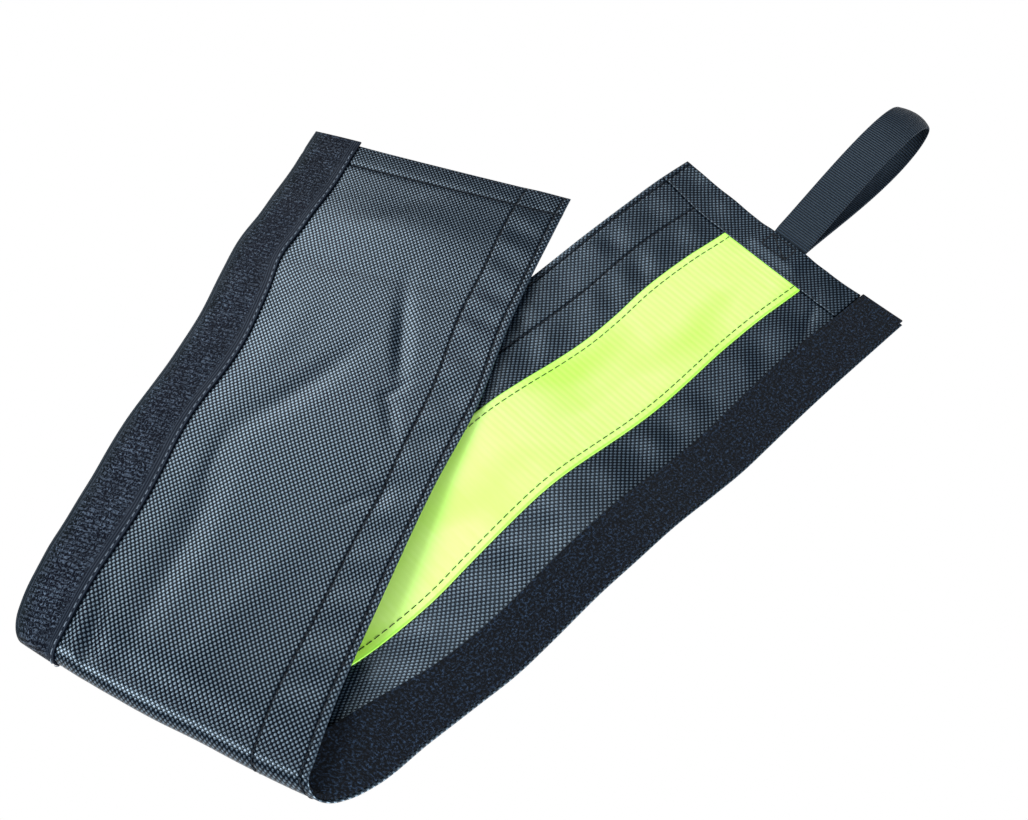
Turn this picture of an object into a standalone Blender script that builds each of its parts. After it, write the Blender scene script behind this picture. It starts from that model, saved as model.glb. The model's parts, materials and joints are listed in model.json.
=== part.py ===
# Rope protector sleeve, laid out open and folded once over itself.
#
# A long strip of cloth wraps lengthwise round a rope and closes hook on loop.
# Along the strip, s runs from the end with the attachment loop to the plain end.
# Across the strip, u runs from the hook tape's edge to the loop tape's edge.
# Face one carries the loop tape and the wear band, face two the hook tape.
# All lengths are in metres, all angles in degrees, and +Z is up.

import math

import bpy
import numpy as np
from mathutils import Vector

# Strip
SLEEVE_LENGTH = 0.700
SLEEVE_WIDTH = 0.140
CLOTH_THICKNESS = 0.0008
SEAT_GAP = 0.0003

# Tapes, band and hems
TAPE_WIDTH = 0.025
HOOK_TAPE_THICKNESS = 0.0015
LOOP_TAPE_THICKNESS = 0.0015
BAND_EDGE = 0.0425
BAND_WIDTH = 0.049
BAND_THICKNESS = 0.0009
HEM_WIDTH = 0.018
HEM_THICKNESS = 0.0008
HEM_RAMP = 0.004
HEM_EASE = 0.003
BAND_TUCK = 0.005

# Attachment loop of narrow webbing, sewn into the hem
WEBBING_WIDTH = 0.020
WEBBING_THICKNESS = 0.0011
WEBBING_CENTRE = 0.0690
WEBBING_TAIL = 0.011
LOOP_LENGTH = 0.0957
LOOP_SWELL = 0.021
LOOP_FLOOR_CLEARANCE = 0.0006
LOOP_ROUNDNESS = 1.6
LOOP_VEER = 5.0
LOOP_ROOM = 0.0006
LOOP_PIVOT = 0.004

# Cross fold: the strip bends back over itself round a half cylinder
FOLD_RADIUS = 0.006
FOLD_PLACE = 0.3668
FOLD_SKEW = 14.05
FOLD_HEADING = -123.3
FOLD_CENTRE = (-0.13617, -0.14076)
FOLD_MARGIN = 0.001

# Lie of the lower arm
LOWER_HEIGHT = 0.0020
LOWER_WAVE = 0.0060
LOWER_WAVE_PLACE = 0.186
LOWER_WAVE_SPREAD = 0.043
LOWER_TILT_RISE = 0.0021
TILT_START = 0.060
TILT_RUN = 0.160
LOWER_BOW_NEAR = 0.0060
LOWER_BOW_NEAR_PLACE = 0.186
LOWER_BOW_NEAR_SPREAD = 0.080
LOWER_BOW_FAR = 0.0085
LOWER_BOW_FAR_PLACE = 0.268
LOWER_BOW_FAR_SPREAD = 0.075
END_DRAW = 0.0028
END_DRAW_RUN = 0.030

# Lie of the upper arm, measured from its free end
UPPER_END_HEIGHT = 0.0030
UPPER_CLIMB = 0.083
UPPER_TILT_RISE = 0.0014
UPPER_BOW = 0.0032
UPPER_BOW_PLACE = 0.1455
UPPER_BOW_SPREAD = 0.035

# Lines along which the two edges turn to close round a rope
CLOSED_WIDTH = (SLEEVE_WIDTH - TAPE_WIDTH) / 2
HOOK_TURN = 0.0385
LOOP_TURN = HOOK_TURN + CLOSED_WIDTH
LOWER_FLAP_LENGTH = 0.225
UPPER_FLAP_LENGTH = 0.200
LOOP_AXIS_CLEARANCE = 0.0010
HOOK_AXIS_CLEARANCE = 0.0050

# Mesh fineness, in counts of steps along and across each stretch
ARM_STEPS = 14
GUSSET_STEPS = 8
FOLD_STEPS = 14
LOOP_STEPS = 36
HEM_STEPS = 6
TAIL_STEPS = 2
NARROW_COLUMNS = 2
HOOK_SIDE_COLUMNS = 3
LOOP_SIDE_COLUMNS = 4
MIDDLE_COLUMNS = 4
FOLD_COLUMNS = 8
HEM_COLUMNS = {"hook_side": 4, "middle": 24, "loop_side": 3}

# Small step used to measure the sheet's slope
SLOPE_STEP = 0.0001
FLOOR_CUT_DEPTH = 0.010

# Offsets of the layers from the middle of the cloth, on face one or face two
CLOTH_FACE = CLOTH_THICKNESS / 2
LAYER_SEAT = CLOTH_FACE + SEAT_GAP
TAIL_THICKNESS = 2 * WEBBING_THICKNESS

COLOURS = {
    "cloth": (0.030, 0.034, 0.042, 1.0),
    "hook": (0.018, 0.020, 0.024, 1.0),
    "loop": (0.012, 0.013, 0.016, 1.0),
    "band": (0.55, 0.90, 0.10, 1.0),
    "webbing": (0.022, 0.025, 0.032, 1.0),
}
ROUGHNESS = {"cloth": 0.65, "hook": 0.8, "loop": 0.95, "band": 0.5, "webbing": 0.7}


def smooth(x):
    """Smooth step from 0 to 1 as x goes from 0 to 1."""
    x = np.clip(x, 0, 1)
    return x * x * (3 - 2 * x)


def bump(x, place, spread):
    """Round bump of height 1 at a place, falling away over a spread."""
    return np.exp(-((x - place) / spread) ** 2)


def heading(angle):
    """Plan direction at an angle in degrees from +X."""
    turn = math.radians(angle)
    return np.array([math.cos(turn), math.sin(turn), 0])


FOLD_OUT = heading(FOLD_HEADING)
FOLD_ALONG = heading(FOLD_HEADING + 90)
LOWER_DIRECTION = heading(FOLD_HEADING - FOLD_SKEW)
LOWER_ACROSS = heading(FOLD_HEADING - FOLD_SKEW + 90)
UPPER_ACROSS = heading(FOLD_HEADING + FOLD_SKEW + 90)
UP = np.array([0, 0, 1])
SKEW_COS = math.cos(math.radians(FOLD_SKEW))
SKEW_SIN = math.sin(math.radians(FOLD_SKEW))
BEND_LENGTH = math.pi * FOLD_RADIUS
UPPER_HEIGHT = LOWER_HEIGHT + 2 * FOLD_RADIUS


def lower_height(s, u):
    """Level floor height, one low wave, and a tilt that lifts the hook edge near the free end."""
    side = (u - SLEEVE_WIDTH / 2) / (SLEEVE_WIDTH / 2)
    tilt = 1 - smooth((s - TILT_START) / TILT_RUN)
    wave = LOWER_WAVE * bump(s, LOWER_WAVE_PLACE, LOWER_WAVE_SPREAD)
    return LOWER_HEIGHT + wave - LOWER_TILT_RISE * side * tilt


def upper_height(s, u):
    """Climb from the free end on the floor to the top of the fold, over the lower arm."""
    from_end = SLEEVE_LENGTH - s
    side = (u - SLEEVE_WIDTH / 2) / (SLEEVE_WIDTH / 2)
    climb = 1 - np.exp(-np.maximum(from_end, 0) / UPPER_CLIMB)
    tilt = 1 - smooth((from_end - TILT_START) / TILT_RUN)
    rise = (UPPER_HEIGHT - UPPER_END_HEIGHT) * climb
    return UPPER_END_HEIGHT + rise + UPPER_TILT_RISE * side * tilt


def lower_bow(s):
    """Sideways bow of the lower arm, towards the loop tape's edge."""
    near = LOWER_BOW_NEAR * bump(s, LOWER_BOW_NEAR_PLACE, LOWER_BOW_NEAR_SPREAD)
    far = LOWER_BOW_FAR * bump(s, LOWER_BOW_FAR_PLACE, LOWER_BOW_FAR_SPREAD)
    return near + far


def end_draw(s, u):
    """How far the hem of the lower arm's free end is drawn in, most at its middle."""
    side = (u - SLEEVE_WIDTH / 2) / (SLEEVE_WIDTH / 2)
    return END_DRAW * (1 - side ** 2) * (1 - smooth(s / END_DRAW_RUN))


def upper_bow(s):
    """Sideways bow of the upper arm, towards the loop tape's edge."""
    return UPPER_BOW * bump(SLEEVE_LENGTH - s, UPPER_BOW_PLACE, UPPER_BOW_SPREAD)


def fold_distance(s, u):
    """Distance past the line where the bend starts, square to the fold."""
    return (s - FOLD_PLACE) * SKEW_COS + (u - SLEEVE_WIDTH / 2) * SKEW_SIN


def place_at(distance, u):
    """The place s along the strip that lies at a distance past the bend's start line."""
    return FOLD_PLACE + (distance - (u - SLEEVE_WIDTH / 2) * SKEW_SIN) / SKEW_COS


def sheet(s, u):
    """Middle surface of the cloth in space.

    Square to the fold the strip runs flat, goes round a half circle of the fold
    radius, and runs back flat; along the fold it keeps its place. Heights and
    bows of the two arms are mixed by how far round the half circle a point is.
    """
    s, u = np.broadcast_arrays(np.asarray(s, float), np.asarray(u, float))
    distance = fold_distance(s, u)
    along = -(s - FOLD_PLACE) * SKEW_SIN + (u - SLEEVE_WIDTH / 2) * SKEW_COS
    angle = np.clip(distance / BEND_LENGTH, 0, 1) * math.pi
    before = np.minimum(distance, 0)
    after = np.maximum(distance - BEND_LENGTH, 0)
    out = before + FOLD_RADIUS * np.sin(angle) - after
    share = (1 - np.cos(angle)) / 2
    height = (1 - share) * lower_height(s, u) + share * upper_height(s, u)
    lower_side = ((1 - share) * lower_bow(s))[..., None] * LOWER_ACROSS
    upper_side = (share * upper_bow(s))[..., None] * UPPER_ACROSS
    drawn = end_draw(s, u)[..., None] * LOWER_DIRECTION
    plan = out[..., None] * FOLD_OUT + along[..., None] * FOLD_ALONG + lower_side + upper_side + drawn
    centre = np.array([FOLD_CENTRE[0], FOLD_CENTRE[1], 0])
    return centre + plan + height[..., None] * UP


def sheet_normal(s, u):
    """Unit normal of the cloth, pointing out of face one."""
    along = sheet(s + SLOPE_STEP, u) - sheet(s - SLOPE_STEP, u)
    across = sheet(s, u + SLOPE_STEP) - sheet(s, u - SLOPE_STEP)
    normal = np.cross(along, across)
    return normal / np.linalg.norm(normal, axis=-1, keepdims=True)


def new_material(name):
    """Plain woven-goods material with the part's colour."""
    material = bpy.data.materials.new(name)
    material.use_nodes = True
    shader = material.node_tree.nodes["Principled BSDF"]
    shader.inputs["Base Color"].default_value = COLOURS[name]
    shader.inputs["Roughness"].default_value = ROUGHNESS[name]
    shader.inputs["Metallic"].default_value = 0
    return material


def new_piece(name, points, thickness, material, parent, collection):
    """Object from a grid of points on its middle surface, thickened by Solidify."""
    rows, columns = points.shape[:2]
    flat = points.reshape(-1, 3)
    centre = flat.mean(axis=0)
    corner = np.arange(rows * columns).reshape(rows, columns)
    quads = np.stack(
        [corner[:-1, :-1], corner[1:, :-1], corner[1:, 1:], corner[:-1, 1:]], axis=-1
    ).reshape(-1, 4)
    mesh = bpy.data.meshes.new(name)
    mesh.from_pydata((flat - centre).tolist(), [], quads.tolist())
    mesh.materials.append(material)
    mesh.shade_smooth()
    piece = bpy.data.objects.new(name, mesh)
    collection.objects.link(piece)
    piece.location = centre
    wall = piece.modifiers.new("wall", "SOLIDIFY")
    wall.thickness = thickness
    wall.offset = 0
    wall.use_even_offset = True
    if parent is not None:
        bpy.context.view_layer.update()
        piece.parent = parent
        piece.matrix_parent_inverse = parent.matrix_world.inverted()
    return piece


def new_axis(name, place, parent, collection):
    """Empty on a turning axis, which carries the pieces that turn with it."""
    axis = bpy.data.objects.new(name, None)
    axis.location = place
    collection.objects.link(axis)
    if parent is not None:
        bpy.context.view_layer.update()
        axis.parent = parent
        axis.matrix_parent_inverse = parent.matrix_world.inverted()
    bpy.context.view_layer.update()
    return axis


def layer_points(s, u, offset):
    """Grid points at an offset from the middle of the cloth, positive on face one."""
    offset = np.broadcast_to(offset, np.broadcast_shapes(np.shape(s), np.shape(u)))
    return sheet(s, u) + offset[..., None] * sheet_normal(s, u)


def strip_grid(start, stop, low, high, steps, columns):
    """Grid of s and u; start and stop give s for each u, or are plain lengths."""
    u = np.linspace(low, high, columns + 1)[None, :]
    share = np.linspace(0, 1, steps + 1)[:, None]
    first = start(u) if callable(start) else np.full_like(u, start)
    last = stop(u) if callable(stop) else np.full_like(u, stop)
    return first + (last - first) * share, np.broadcast_to(u, (steps + 1, columns + 1))


def before_fold(u):
    """Where the lower arm's pieces end, a margin before the bend."""
    return place_at(-FOLD_MARGIN - SEAT_GAP, u)


def fold_start(u):
    return place_at(-FOLD_MARGIN, u)


def fold_end(u):
    return place_at(BEND_LENGTH + FOLD_MARGIN, u)


def after_fold(u):
    """Where the upper arm's pieces start, a margin after the bend."""
    return place_at(BEND_LENGTH + FOLD_MARGIN + SEAT_GAP, u)


UPPER_FLAP_START = SLEEVE_LENGTH - UPPER_FLAP_LENGTH

# Zones along the strip: name, start, stop and number of steps
ZONES = {
    "lower_flap": (0, LOWER_FLAP_LENGTH, ARM_STEPS),
    "lower_gusset": (LOWER_FLAP_LENGTH + SEAT_GAP, before_fold, GUSSET_STEPS),
    "fold": (fold_start, fold_end, FOLD_STEPS),
    "upper_gusset": (after_fold, UPPER_FLAP_START - SEAT_GAP, GUSSET_STEPS),
    "upper_flap": (UPPER_FLAP_START, SLEEVE_LENGTH, ARM_STEPS),
}


def build_layer(names, low, high, columns, offset, thickness, material, owners, collection):
    """One layer of the strip, a separate piece in each named zone."""
    for name, zone in names.items():
        start, stop, steps = ZONES[zone]
        s, u = strip_grid(start, stop, low, high, steps, columns)
        points = layer_points(s, u, offset)
        new_piece(name, points, thickness, material, owners[zone], collection)


def hem_offset(s_from_end, u, has_tail):
    """Middle of the hem's turned layer: raised over the band's end and over the webbing's tail."""
    def over(low, high):
        rise = smooth((u - low + HEM_EASE + HEM_RAMP) / HEM_RAMP)
        fall = smooth((high + HEM_EASE + HEM_RAMP - u) / HEM_RAMP)
        return rise * fall

    band = (BAND_THICKNESS + SEAT_GAP) * over(BAND_EDGE, BAND_EDGE + BAND_WIDTH)
    half = WEBBING_WIDTH / 2
    tail_rise = TAIL_THICKNESS - BAND_THICKNESS
    near_end = 1 - smooth((s_from_end - WEBBING_TAIL - HEM_EASE) / HEM_RAMP)
    tail = tail_rise * over(WEBBING_CENTRE - half, WEBBING_CENTRE + half) * near_end * has_tail
    return LAYER_SEAT + HEM_THICKNESS / 2 + band + tail


def build_hem(arm, owners, material, collection):
    """The end of the strip turned over on face one and sewn down, in three stretches."""
    has_tail = 1 if arm == "lower" else 0
    gap = SEAT_GAP / 2
    stretches = {
        "hook_side": (0, HOOK_TURN - gap),
        "middle": (HOOK_TURN + gap, LOOP_TURN - gap),
        "loop_side": (LOOP_TURN + gap, SLEEVE_WIDTH - TAPE_WIDTH - SEAT_GAP),
    }
    for side, (low, high) in stretches.items():
        from_end, u = strip_grid(0, HEM_WIDTH, low, high, HEM_STEPS, HEM_COLUMNS[side])
        s = from_end if arm == "lower" else SLEEVE_LENGTH - from_end
        points = layer_points(s, u, hem_offset(from_end, u, has_tail))
        new_piece(arm + "_hem_" + side, points, HEM_THICKNESS, material, owners[side], collection)


def loop_frame():
    """Root point of the attachment loop and its outward direction, a little askew of the strip."""
    root = sheet(0, WEBBING_CENTRE) + (LAYER_SEAT + TAIL_THICKNESS / 2) * sheet_normal(0, WEBBING_CENTRE)
    veer = math.radians(LOOP_VEER)
    return root, -math.cos(veer) * LOWER_DIRECTION - math.sin(veer) * LOWER_ACROSS


def build_attachment_loop(parent, material, collection):
    """Ribbon bent in a teardrop: both legs leave the hem together and swell towards the tip.

    Outward distance is half the loop's length times one minus a cosine. Height is
    the swell times a sine, narrowed towards the root by a power of the half sine.
    The loop slopes up from its root just enough for its lower leg to clear the floor.
    """
    root, out = loop_frame()
    turn = np.linspace(0, 2 * math.pi, LOOP_STEPS + 1)
    distance = LOOP_LENGTH * (1 - np.cos(turn)) / 2
    leg = WEBBING_THICKNESS / 2 + SEAT_GAP / 2
    shape = np.sin(turn) * np.sin(turn / 2) ** LOOP_ROUNDNESS
    swell = LOOP_SWELL / 2 * shape / shape.max()
    legs = leg * np.where(turn < math.pi, 1, -1) * np.abs(np.cos(turn / 2))
    lowest_middle = LOOP_FLOOR_CLEARANCE + WEBBING_THICKNESS / 2 - root[2]
    rise = lowest_middle - swell - legs
    slope = (rise[1:-1] / distance[1:-1]).max()
    height = slope * distance + swell + legs
    place = root + (LOOP_ROOM + distance)[:, None] * out + height[:, None] * UP
    side = np.linspace(-WEBBING_WIDTH / 2, WEBBING_WIDTH / 2, NARROW_COLUMNS + 1)
    points = place[:, None, :] + side[None, :, None] * LOWER_ACROSS
    new_piece("attachment_loop", points, WEBBING_THICKNESS, material, parent, collection)


def cut_floor(pieces, collection):
    """Flatten what rests on the floor, with one block under it."""
    corners = np.array([piece.matrix_world @ Vector(c) for piece in pieces for c in piece.bound_box])
    low, high = corners.min(axis=0), corners.max(axis=0)
    size = high - low
    bpy.ops.mesh.primitive_cube_add(size=1, location=(*(low + high)[:2] / 2, -FLOOR_CUT_DEPTH / 2))
    block = bpy.context.object
    block.name = "floor_cutter"
    block.scale = (2 * size[0], 2 * size[1], FLOOR_CUT_DEPTH)
    block.hide_render = True
    block.display_type = "WIRE"
    for owner in list(block.users_collection):
        owner.objects.unlink(block)
    collection.objects.link(block)
    for piece in pieces:
        cut = piece.modifiers.new("rest", "BOOLEAN")
        cut.operation = "DIFFERENCE"
        cut.solver = "EXACT"
        cut.object = block


def axis_line(arm, u, clearance):
    """Two points of the straight line about which a side of an arm turns.

    The line lies on the side to which the arm closes, below the lower arm's cloth
    or above the upper arm's, and clear of it over the whole flap.
    """
    if arm == "lower":
        s = np.linspace(0, LOWER_FLAP_LENGTH, ARM_STEPS + 1)
        sign = -1
    else:
        s = np.linspace(SLEEVE_LENGTH, UPPER_FLAP_START, ARM_STEPS + 1)
        sign = 1
    line = sheet(s, u)
    share = np.linspace(0, 1, ARM_STEPS + 1)
    chord = line[0] + (line[-1] - line[0]) * share[:, None]
    lift = max(0, float((sign * (line[:, 2] - chord[:, 2])).max())) + clearance
    shift = sign * lift * UP
    return line[0] + shift, line[-1] + shift


def lowest(piece):
    """Height of the piece's lowest point, with its modifiers."""
    solid = piece.evaluated_get(bpy.context.evaluated_depsgraph_get())
    return min((piece.matrix_world @ Vector(corner)).z for corner in solid.bound_box)


def build_axes(collection):
    """Turning axes: one at the cross fold, one for each closing side, one at the attachment loop.

    Returns the empties by the name of what turns about them. The lower arm turns
    about nothing, so it has none.
    """
    fold_place = (FOLD_CENTRE[0], FOLD_CENTRE[1], LOWER_HEIGHT + FOLD_RADIUS)
    axes = {"lower": None, "upper": new_axis("fold_axis", fold_place, None, collection)}
    turns = {
        "hook_side": (HOOK_TURN, HOOK_AXIS_CLEARANCE),
        "loop_side": (LOOP_TURN, LOOP_AXIS_CLEARANCE),
    }
    for arm in ("lower", "upper"):
        for side, (u, clearance) in turns.items():
            near, far = axis_line(arm, u, clearance)
            name = arm + "_" + side
            axes[name] = new_axis(name + "_axis", (near + far) / 2, axes[arm], collection)
    root, out = loop_frame()
    pivot = root + LOOP_PIVOT * out
    axes["attachment_loop"] = new_axis("attachment_loop_axis", pivot, None, collection)
    return axes


def build_cloth(axes, material, collection):
    """The cloth strip, in the stretches that bend apart from each other."""
    gap = SEAT_GAP / 2
    sides = {
        "hook_side": (0, HOOK_TURN - gap, HOOK_SIDE_COLUMNS),
        "loop_side": (LOOP_TURN + gap, SLEEVE_WIDTH, LOOP_SIDE_COLUMNS),
    }
    middle = (HOOK_TURN + gap, LOOP_TURN - gap)
    ends = {"lower": (0, before_fold), "upper": (after_fold, SLEEVE_LENGTH)}
    for arm, (start, stop) in ends.items():
        flap_zone, gusset_zone = arm + "_flap", arm + "_gusset"
        for side, (low, high, columns) in sides.items():
            names = {arm + "_cloth_" + side: flap_zone, arm + "_gusset_" + side: gusset_zone}
            owners = {flap_zone: axes[arm + "_" + side], gusset_zone: axes[arm]}
            build_layer(names, low, high, columns, 0, CLOTH_THICKNESS, material, owners, collection)
        s, u = strip_grid(start, stop, *middle, ARM_STEPS + GUSSET_STEPS, MIDDLE_COLUMNS)
        new_piece(arm + "_cloth_middle", sheet(s, u), CLOTH_THICKNESS, material, axes[arm], collection)
    names, owners = {"fold_cloth": "fold"}, {"fold": None}
    build_layer(names, 0, SLEEVE_WIDTH, FOLD_COLUMNS, 0, CLOTH_THICKNESS, material, owners, collection)


def build_tape(kind, low, offset, thickness, axes, material, collection):
    """Hook or loop tape along one edge, cut where the cloth under it bends."""
    side = kind + "_side"
    names = {
        "lower_" + kind + "_tape": "lower_flap",
        "lower_" + kind + "_tape_gusset": "lower_gusset",
        "fold_" + kind + "_tape": "fold",
        "upper_" + kind + "_tape_gusset": "upper_gusset",
        "upper_" + kind + "_tape": "upper_flap",
    }
    owners = {
        "lower_flap": axes["lower_" + side],
        "lower_gusset": None,
        "fold": None,
        "upper_gusset": axes["upper"],
        "upper_flap": axes["upper_" + side],
    }
    high = low + TAPE_WIDTH
    build_layer(names, low, high, NARROW_COLUMNS, offset, thickness, material, owners, collection)


def build_band(axes, material, collection):
    """Wear band on face one, its ends tucked under the hems."""
    tuck = HEM_WIDTH - BAND_TUCK
    arm_steps = ARM_STEPS + GUSSET_STEPS
    stretches = {
        "lower_band": (tuck, before_fold, arm_steps, None),
        "fold_band": (fold_start, fold_end, FOLD_STEPS, None),
        "upper_band": (after_fold, SLEEVE_LENGTH - tuck, arm_steps, axes["upper"]),
    }
    for name, (start, stop, steps, owner) in stretches.items():
        s, u = strip_grid(start, stop, BAND_EDGE, BAND_EDGE + BAND_WIDTH, steps, MIDDLE_COLUMNS)
        points = layer_points(s, u, LAYER_SEAT + BAND_THICKNESS / 2)
        new_piece(name, points, BAND_THICKNESS, material, owner, collection)


def build_webbing_tail(material, collection):
    """The two ends of the attachment loop's webbing, laid together inside the hem."""
    half = WEBBING_WIDTH / 2
    low, high = WEBBING_CENTRE - half, WEBBING_CENTRE + half
    s, u = strip_grid(0, WEBBING_TAIL, low, high, TAIL_STEPS, NARROW_COLUMNS)
    points = layer_points(s, u, LAYER_SEAT + TAIL_THICKNESS / 2)
    new_piece("attachment_loop_tail", points, TAIL_THICKNESS, material, None, collection)


def main():
    for old in list(bpy.data.objects):
        bpy.data.objects.remove(old, do_unlink=True)
    parts = bpy.data.collections.new("rope_protector_sleeve")
    cutters = bpy.data.collections.new("cutters")
    bpy.context.scene.collection.children.link(parts)
    bpy.context.scene.collection.children.link(cutters)
    materials = {name: new_material(name) for name in COLOURS}

    axes = build_axes(parts)
    build_cloth(axes, materials["cloth"], parts)
    hook_offset = -(LAYER_SEAT + HOOK_TAPE_THICKNESS / 2)
    loop_offset = LAYER_SEAT + LOOP_TAPE_THICKNESS / 2
    loop_low = SLEEVE_WIDTH - TAPE_WIDTH
    build_tape("hook", 0, hook_offset, HOOK_TAPE_THICKNESS, axes, materials["hook"], parts)
    build_tape("loop", loop_low, loop_offset, LOOP_TAPE_THICKNESS, axes, materials["loop"], parts)
    build_band(axes, materials["band"], parts)
    for arm in ("lower", "upper"):
        owners = {"hook_side": axes[arm + "_hook_side"], "loop_side": axes[arm + "_loop_side"]}
        owners["middle"] = axes[arm]
        build_hem(arm, owners, materials["cloth"], parts)
    build_attachment_loop(axes["attachment_loop"], materials["webbing"], parts)
    build_webbing_tail(materials["webbing"], parts)

    bpy.context.view_layer.update()
    resting = [piece for piece in parts.objects if piece.type == "MESH" and lowest(piece) < 0]
    cut_floor(resting, cutters)


main()
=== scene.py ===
"""Rope protector sleeve: cloth, tapes, wear band, webbing loop, sewing, light and camera.

Places on the sleeve are given on the flat strip: s runs from 0 at the attachment
loop's end to 0.700 at the plain end, u runs from 0 at the hook tape's edge to 0.140
at the loop tape's edge. All lengths are in metres.
"""

import functools
import json
import math

import bpy
import numpy as np
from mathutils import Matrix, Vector


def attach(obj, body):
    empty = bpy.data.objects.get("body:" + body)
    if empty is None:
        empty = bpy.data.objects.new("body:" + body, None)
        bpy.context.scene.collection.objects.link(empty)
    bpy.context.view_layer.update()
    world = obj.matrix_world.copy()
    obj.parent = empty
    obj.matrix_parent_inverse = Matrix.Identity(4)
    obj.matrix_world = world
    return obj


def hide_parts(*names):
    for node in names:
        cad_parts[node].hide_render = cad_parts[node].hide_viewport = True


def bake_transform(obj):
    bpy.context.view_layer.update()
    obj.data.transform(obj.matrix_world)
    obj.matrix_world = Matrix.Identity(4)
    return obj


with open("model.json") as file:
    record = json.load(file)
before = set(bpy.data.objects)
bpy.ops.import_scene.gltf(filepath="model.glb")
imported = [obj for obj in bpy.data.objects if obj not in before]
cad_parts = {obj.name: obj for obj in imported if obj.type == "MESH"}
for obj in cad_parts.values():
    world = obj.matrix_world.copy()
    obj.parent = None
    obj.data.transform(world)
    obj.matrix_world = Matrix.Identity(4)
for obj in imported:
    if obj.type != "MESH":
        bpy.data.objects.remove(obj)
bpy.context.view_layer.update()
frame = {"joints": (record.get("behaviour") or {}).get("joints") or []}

# Strip, as in the part
SLEEVE_LENGTH = 0.700
SLEEVE_WIDTH = 0.140
HALF_WIDTH = SLEEVE_WIDTH / 2
CLOTH_THICKNESS = 0.0008
CLOTH_FACE = CLOTH_THICKNESS / 2
SEAT_GAP = 0.0003

# Layers sewn on it; a lift is how far a layer's middle lies off the cloth's face
TAPE_WIDTH = 0.025
HOOK_TAPE_THICKNESS = 0.0013
HOOK_TAPE_LIFT = 0.0007
HOOK_TAPE_OVERHANG = 0.0004
HOOK_TAPE_ENDS = (-0.0008, 0.7022)
HOOK_TAPE_PRESS_REACH = 0.012
LOOP_TAPE_THICKNESS = 0.0015
LOOP_TAPE_LIFT = 0.0010
LOOP_TAPE_INSET = 0.0010
LOOP_TAPE_ENDS = (-0.0010, 0.6970)
HEM_WIDTH = 0.018
HEM_THICKNESS = 0.0009
HEM_LIFT = 0.0005
HEM_INSET = 0.0006
HEM_RAMP = 0.009
HEM_RISE = 0.0009
NEAR_HEM_START = -0.0002
HEM_EDGE = 0.0172
HEM_EDGE_DRIFT = 0.0030
HEM_EDGE_RUN = 0.030
BAND_EDGE = 0.0425
BAND_WIDTH = 0.049
BAND_SPARE = 0.0006
BAND_THICKNESS = 0.0007
BAND_LIFT = 0.0004
BAND_ENDS = (HEM_WIDTH + 0.0008, SLEEVE_LENGTH - HEM_WIDTH)

# Seams: place of each, in u along the strip and in s across it
HOOK_EDGE_SEAM = 0.0030
HOOK_INNER_SEAM = 0.0225
HOOK_TAPE_SEAM = 0.0238
LOOP_INNER_SEAM = 0.1170
LOOP_OUTER_SEAM = 0.1366
SEAM_LINES = (HOOK_EDGE_SEAM, HOOK_INNER_SEAM, LOOP_INNER_SEAM, LOOP_OUTER_SEAM)
HEM_SEAM_INSET = 0.0011
FAR_HEM_SEAM = 0.6845
FAR_END_SEAM = 0.6965
BOX_S = (0.0018, 0.0112, 0.0112, 0.0018, 0.0018, 0.0112)
BOX_U = (0.0598, 0.0598, 0.0748, 0.0748, 0.0598, 0.0748)
STITCH_PITCH = 0.0040
STITCH_RADIUS = 0.00022
STITCH_JOG = 0.00022
STITCH_RINGS = 7
STITCH_SIDES = 6
NEEDLE_SINK = 0.0001
WANDER = 0.0004
WANDER_PITCH = 0.0691

# Attachment loop
WEBBING_WIDTH = 0.020
WEBBING_THICKNESS = 0.0011
WEBBING_CENTRE = 0.0690
WEBBING_TAIL = 0.011
SELVAGE_ROUND = 0.0006
SELVAGE_EDGE = 0.00008
LOOP_LENGTH = 0.0957
LOOP_SWELL = 0.021
LOOP_FLOOR_CLEARANCE = 0.0006
LOOP_ROUNDNESS = 1.6
LOOP_VEER = 3.4
LOOP_TIP_BOW = 0.0035
LOOP_ROOM = 0.0006
LEG_PRESS = 0.0012

# Cross fold
FOLD_RADIUS = 0.006
FOLD_PLACE = 0.3668
FOLD_SKEW = 14.05
FOLD_HEADING = -123.3
FOLD_CENTRE = (-0.13617, -0.14076)
BEND_LENGTH = math.pi * FOLD_RADIUS

# Heights and bows of the two arms
LOWER_HEIGHT = 0.0020
LOWER_WAVE = (0.0060, 0.186, 0.043)
LOWER_TILT = 0.0021
TILT_START = 0.060
TILT_RUN = 0.160
LOWER_BOW_NEAR = (0.0060, 0.186, 0.080)
LOWER_BOW_FAR = (0.0085, 0.268, 0.075)
END_DRAW = 0.0028
END_DRAW_RUN = 0.030
UPPER_END_HEIGHT = 0.0030
UPPER_CLIMB = 0.083
UPPER_TILT = 0.0014
UPPER_BOW = (0.0032, 0.1455, 0.035)
UPPER_HEIGHT = LOWER_HEIGHT + 2 * FOLD_RADIUS

# Grid steps of the meshes, and radii of the layers' edges
CLOTH_STEP = 0.0016
TAPE_STEP = 0.0012
HEM_STEP = 0.0010
LOOP_ROWS = 241
TAIL_ROWS = 12
EDGE_ROUND = 0.0004
BAND_EDGE_ROUND = 0.0003
LEAST_STRETCH = 1e-6
LEAST_ROW = 1e-5

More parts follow.
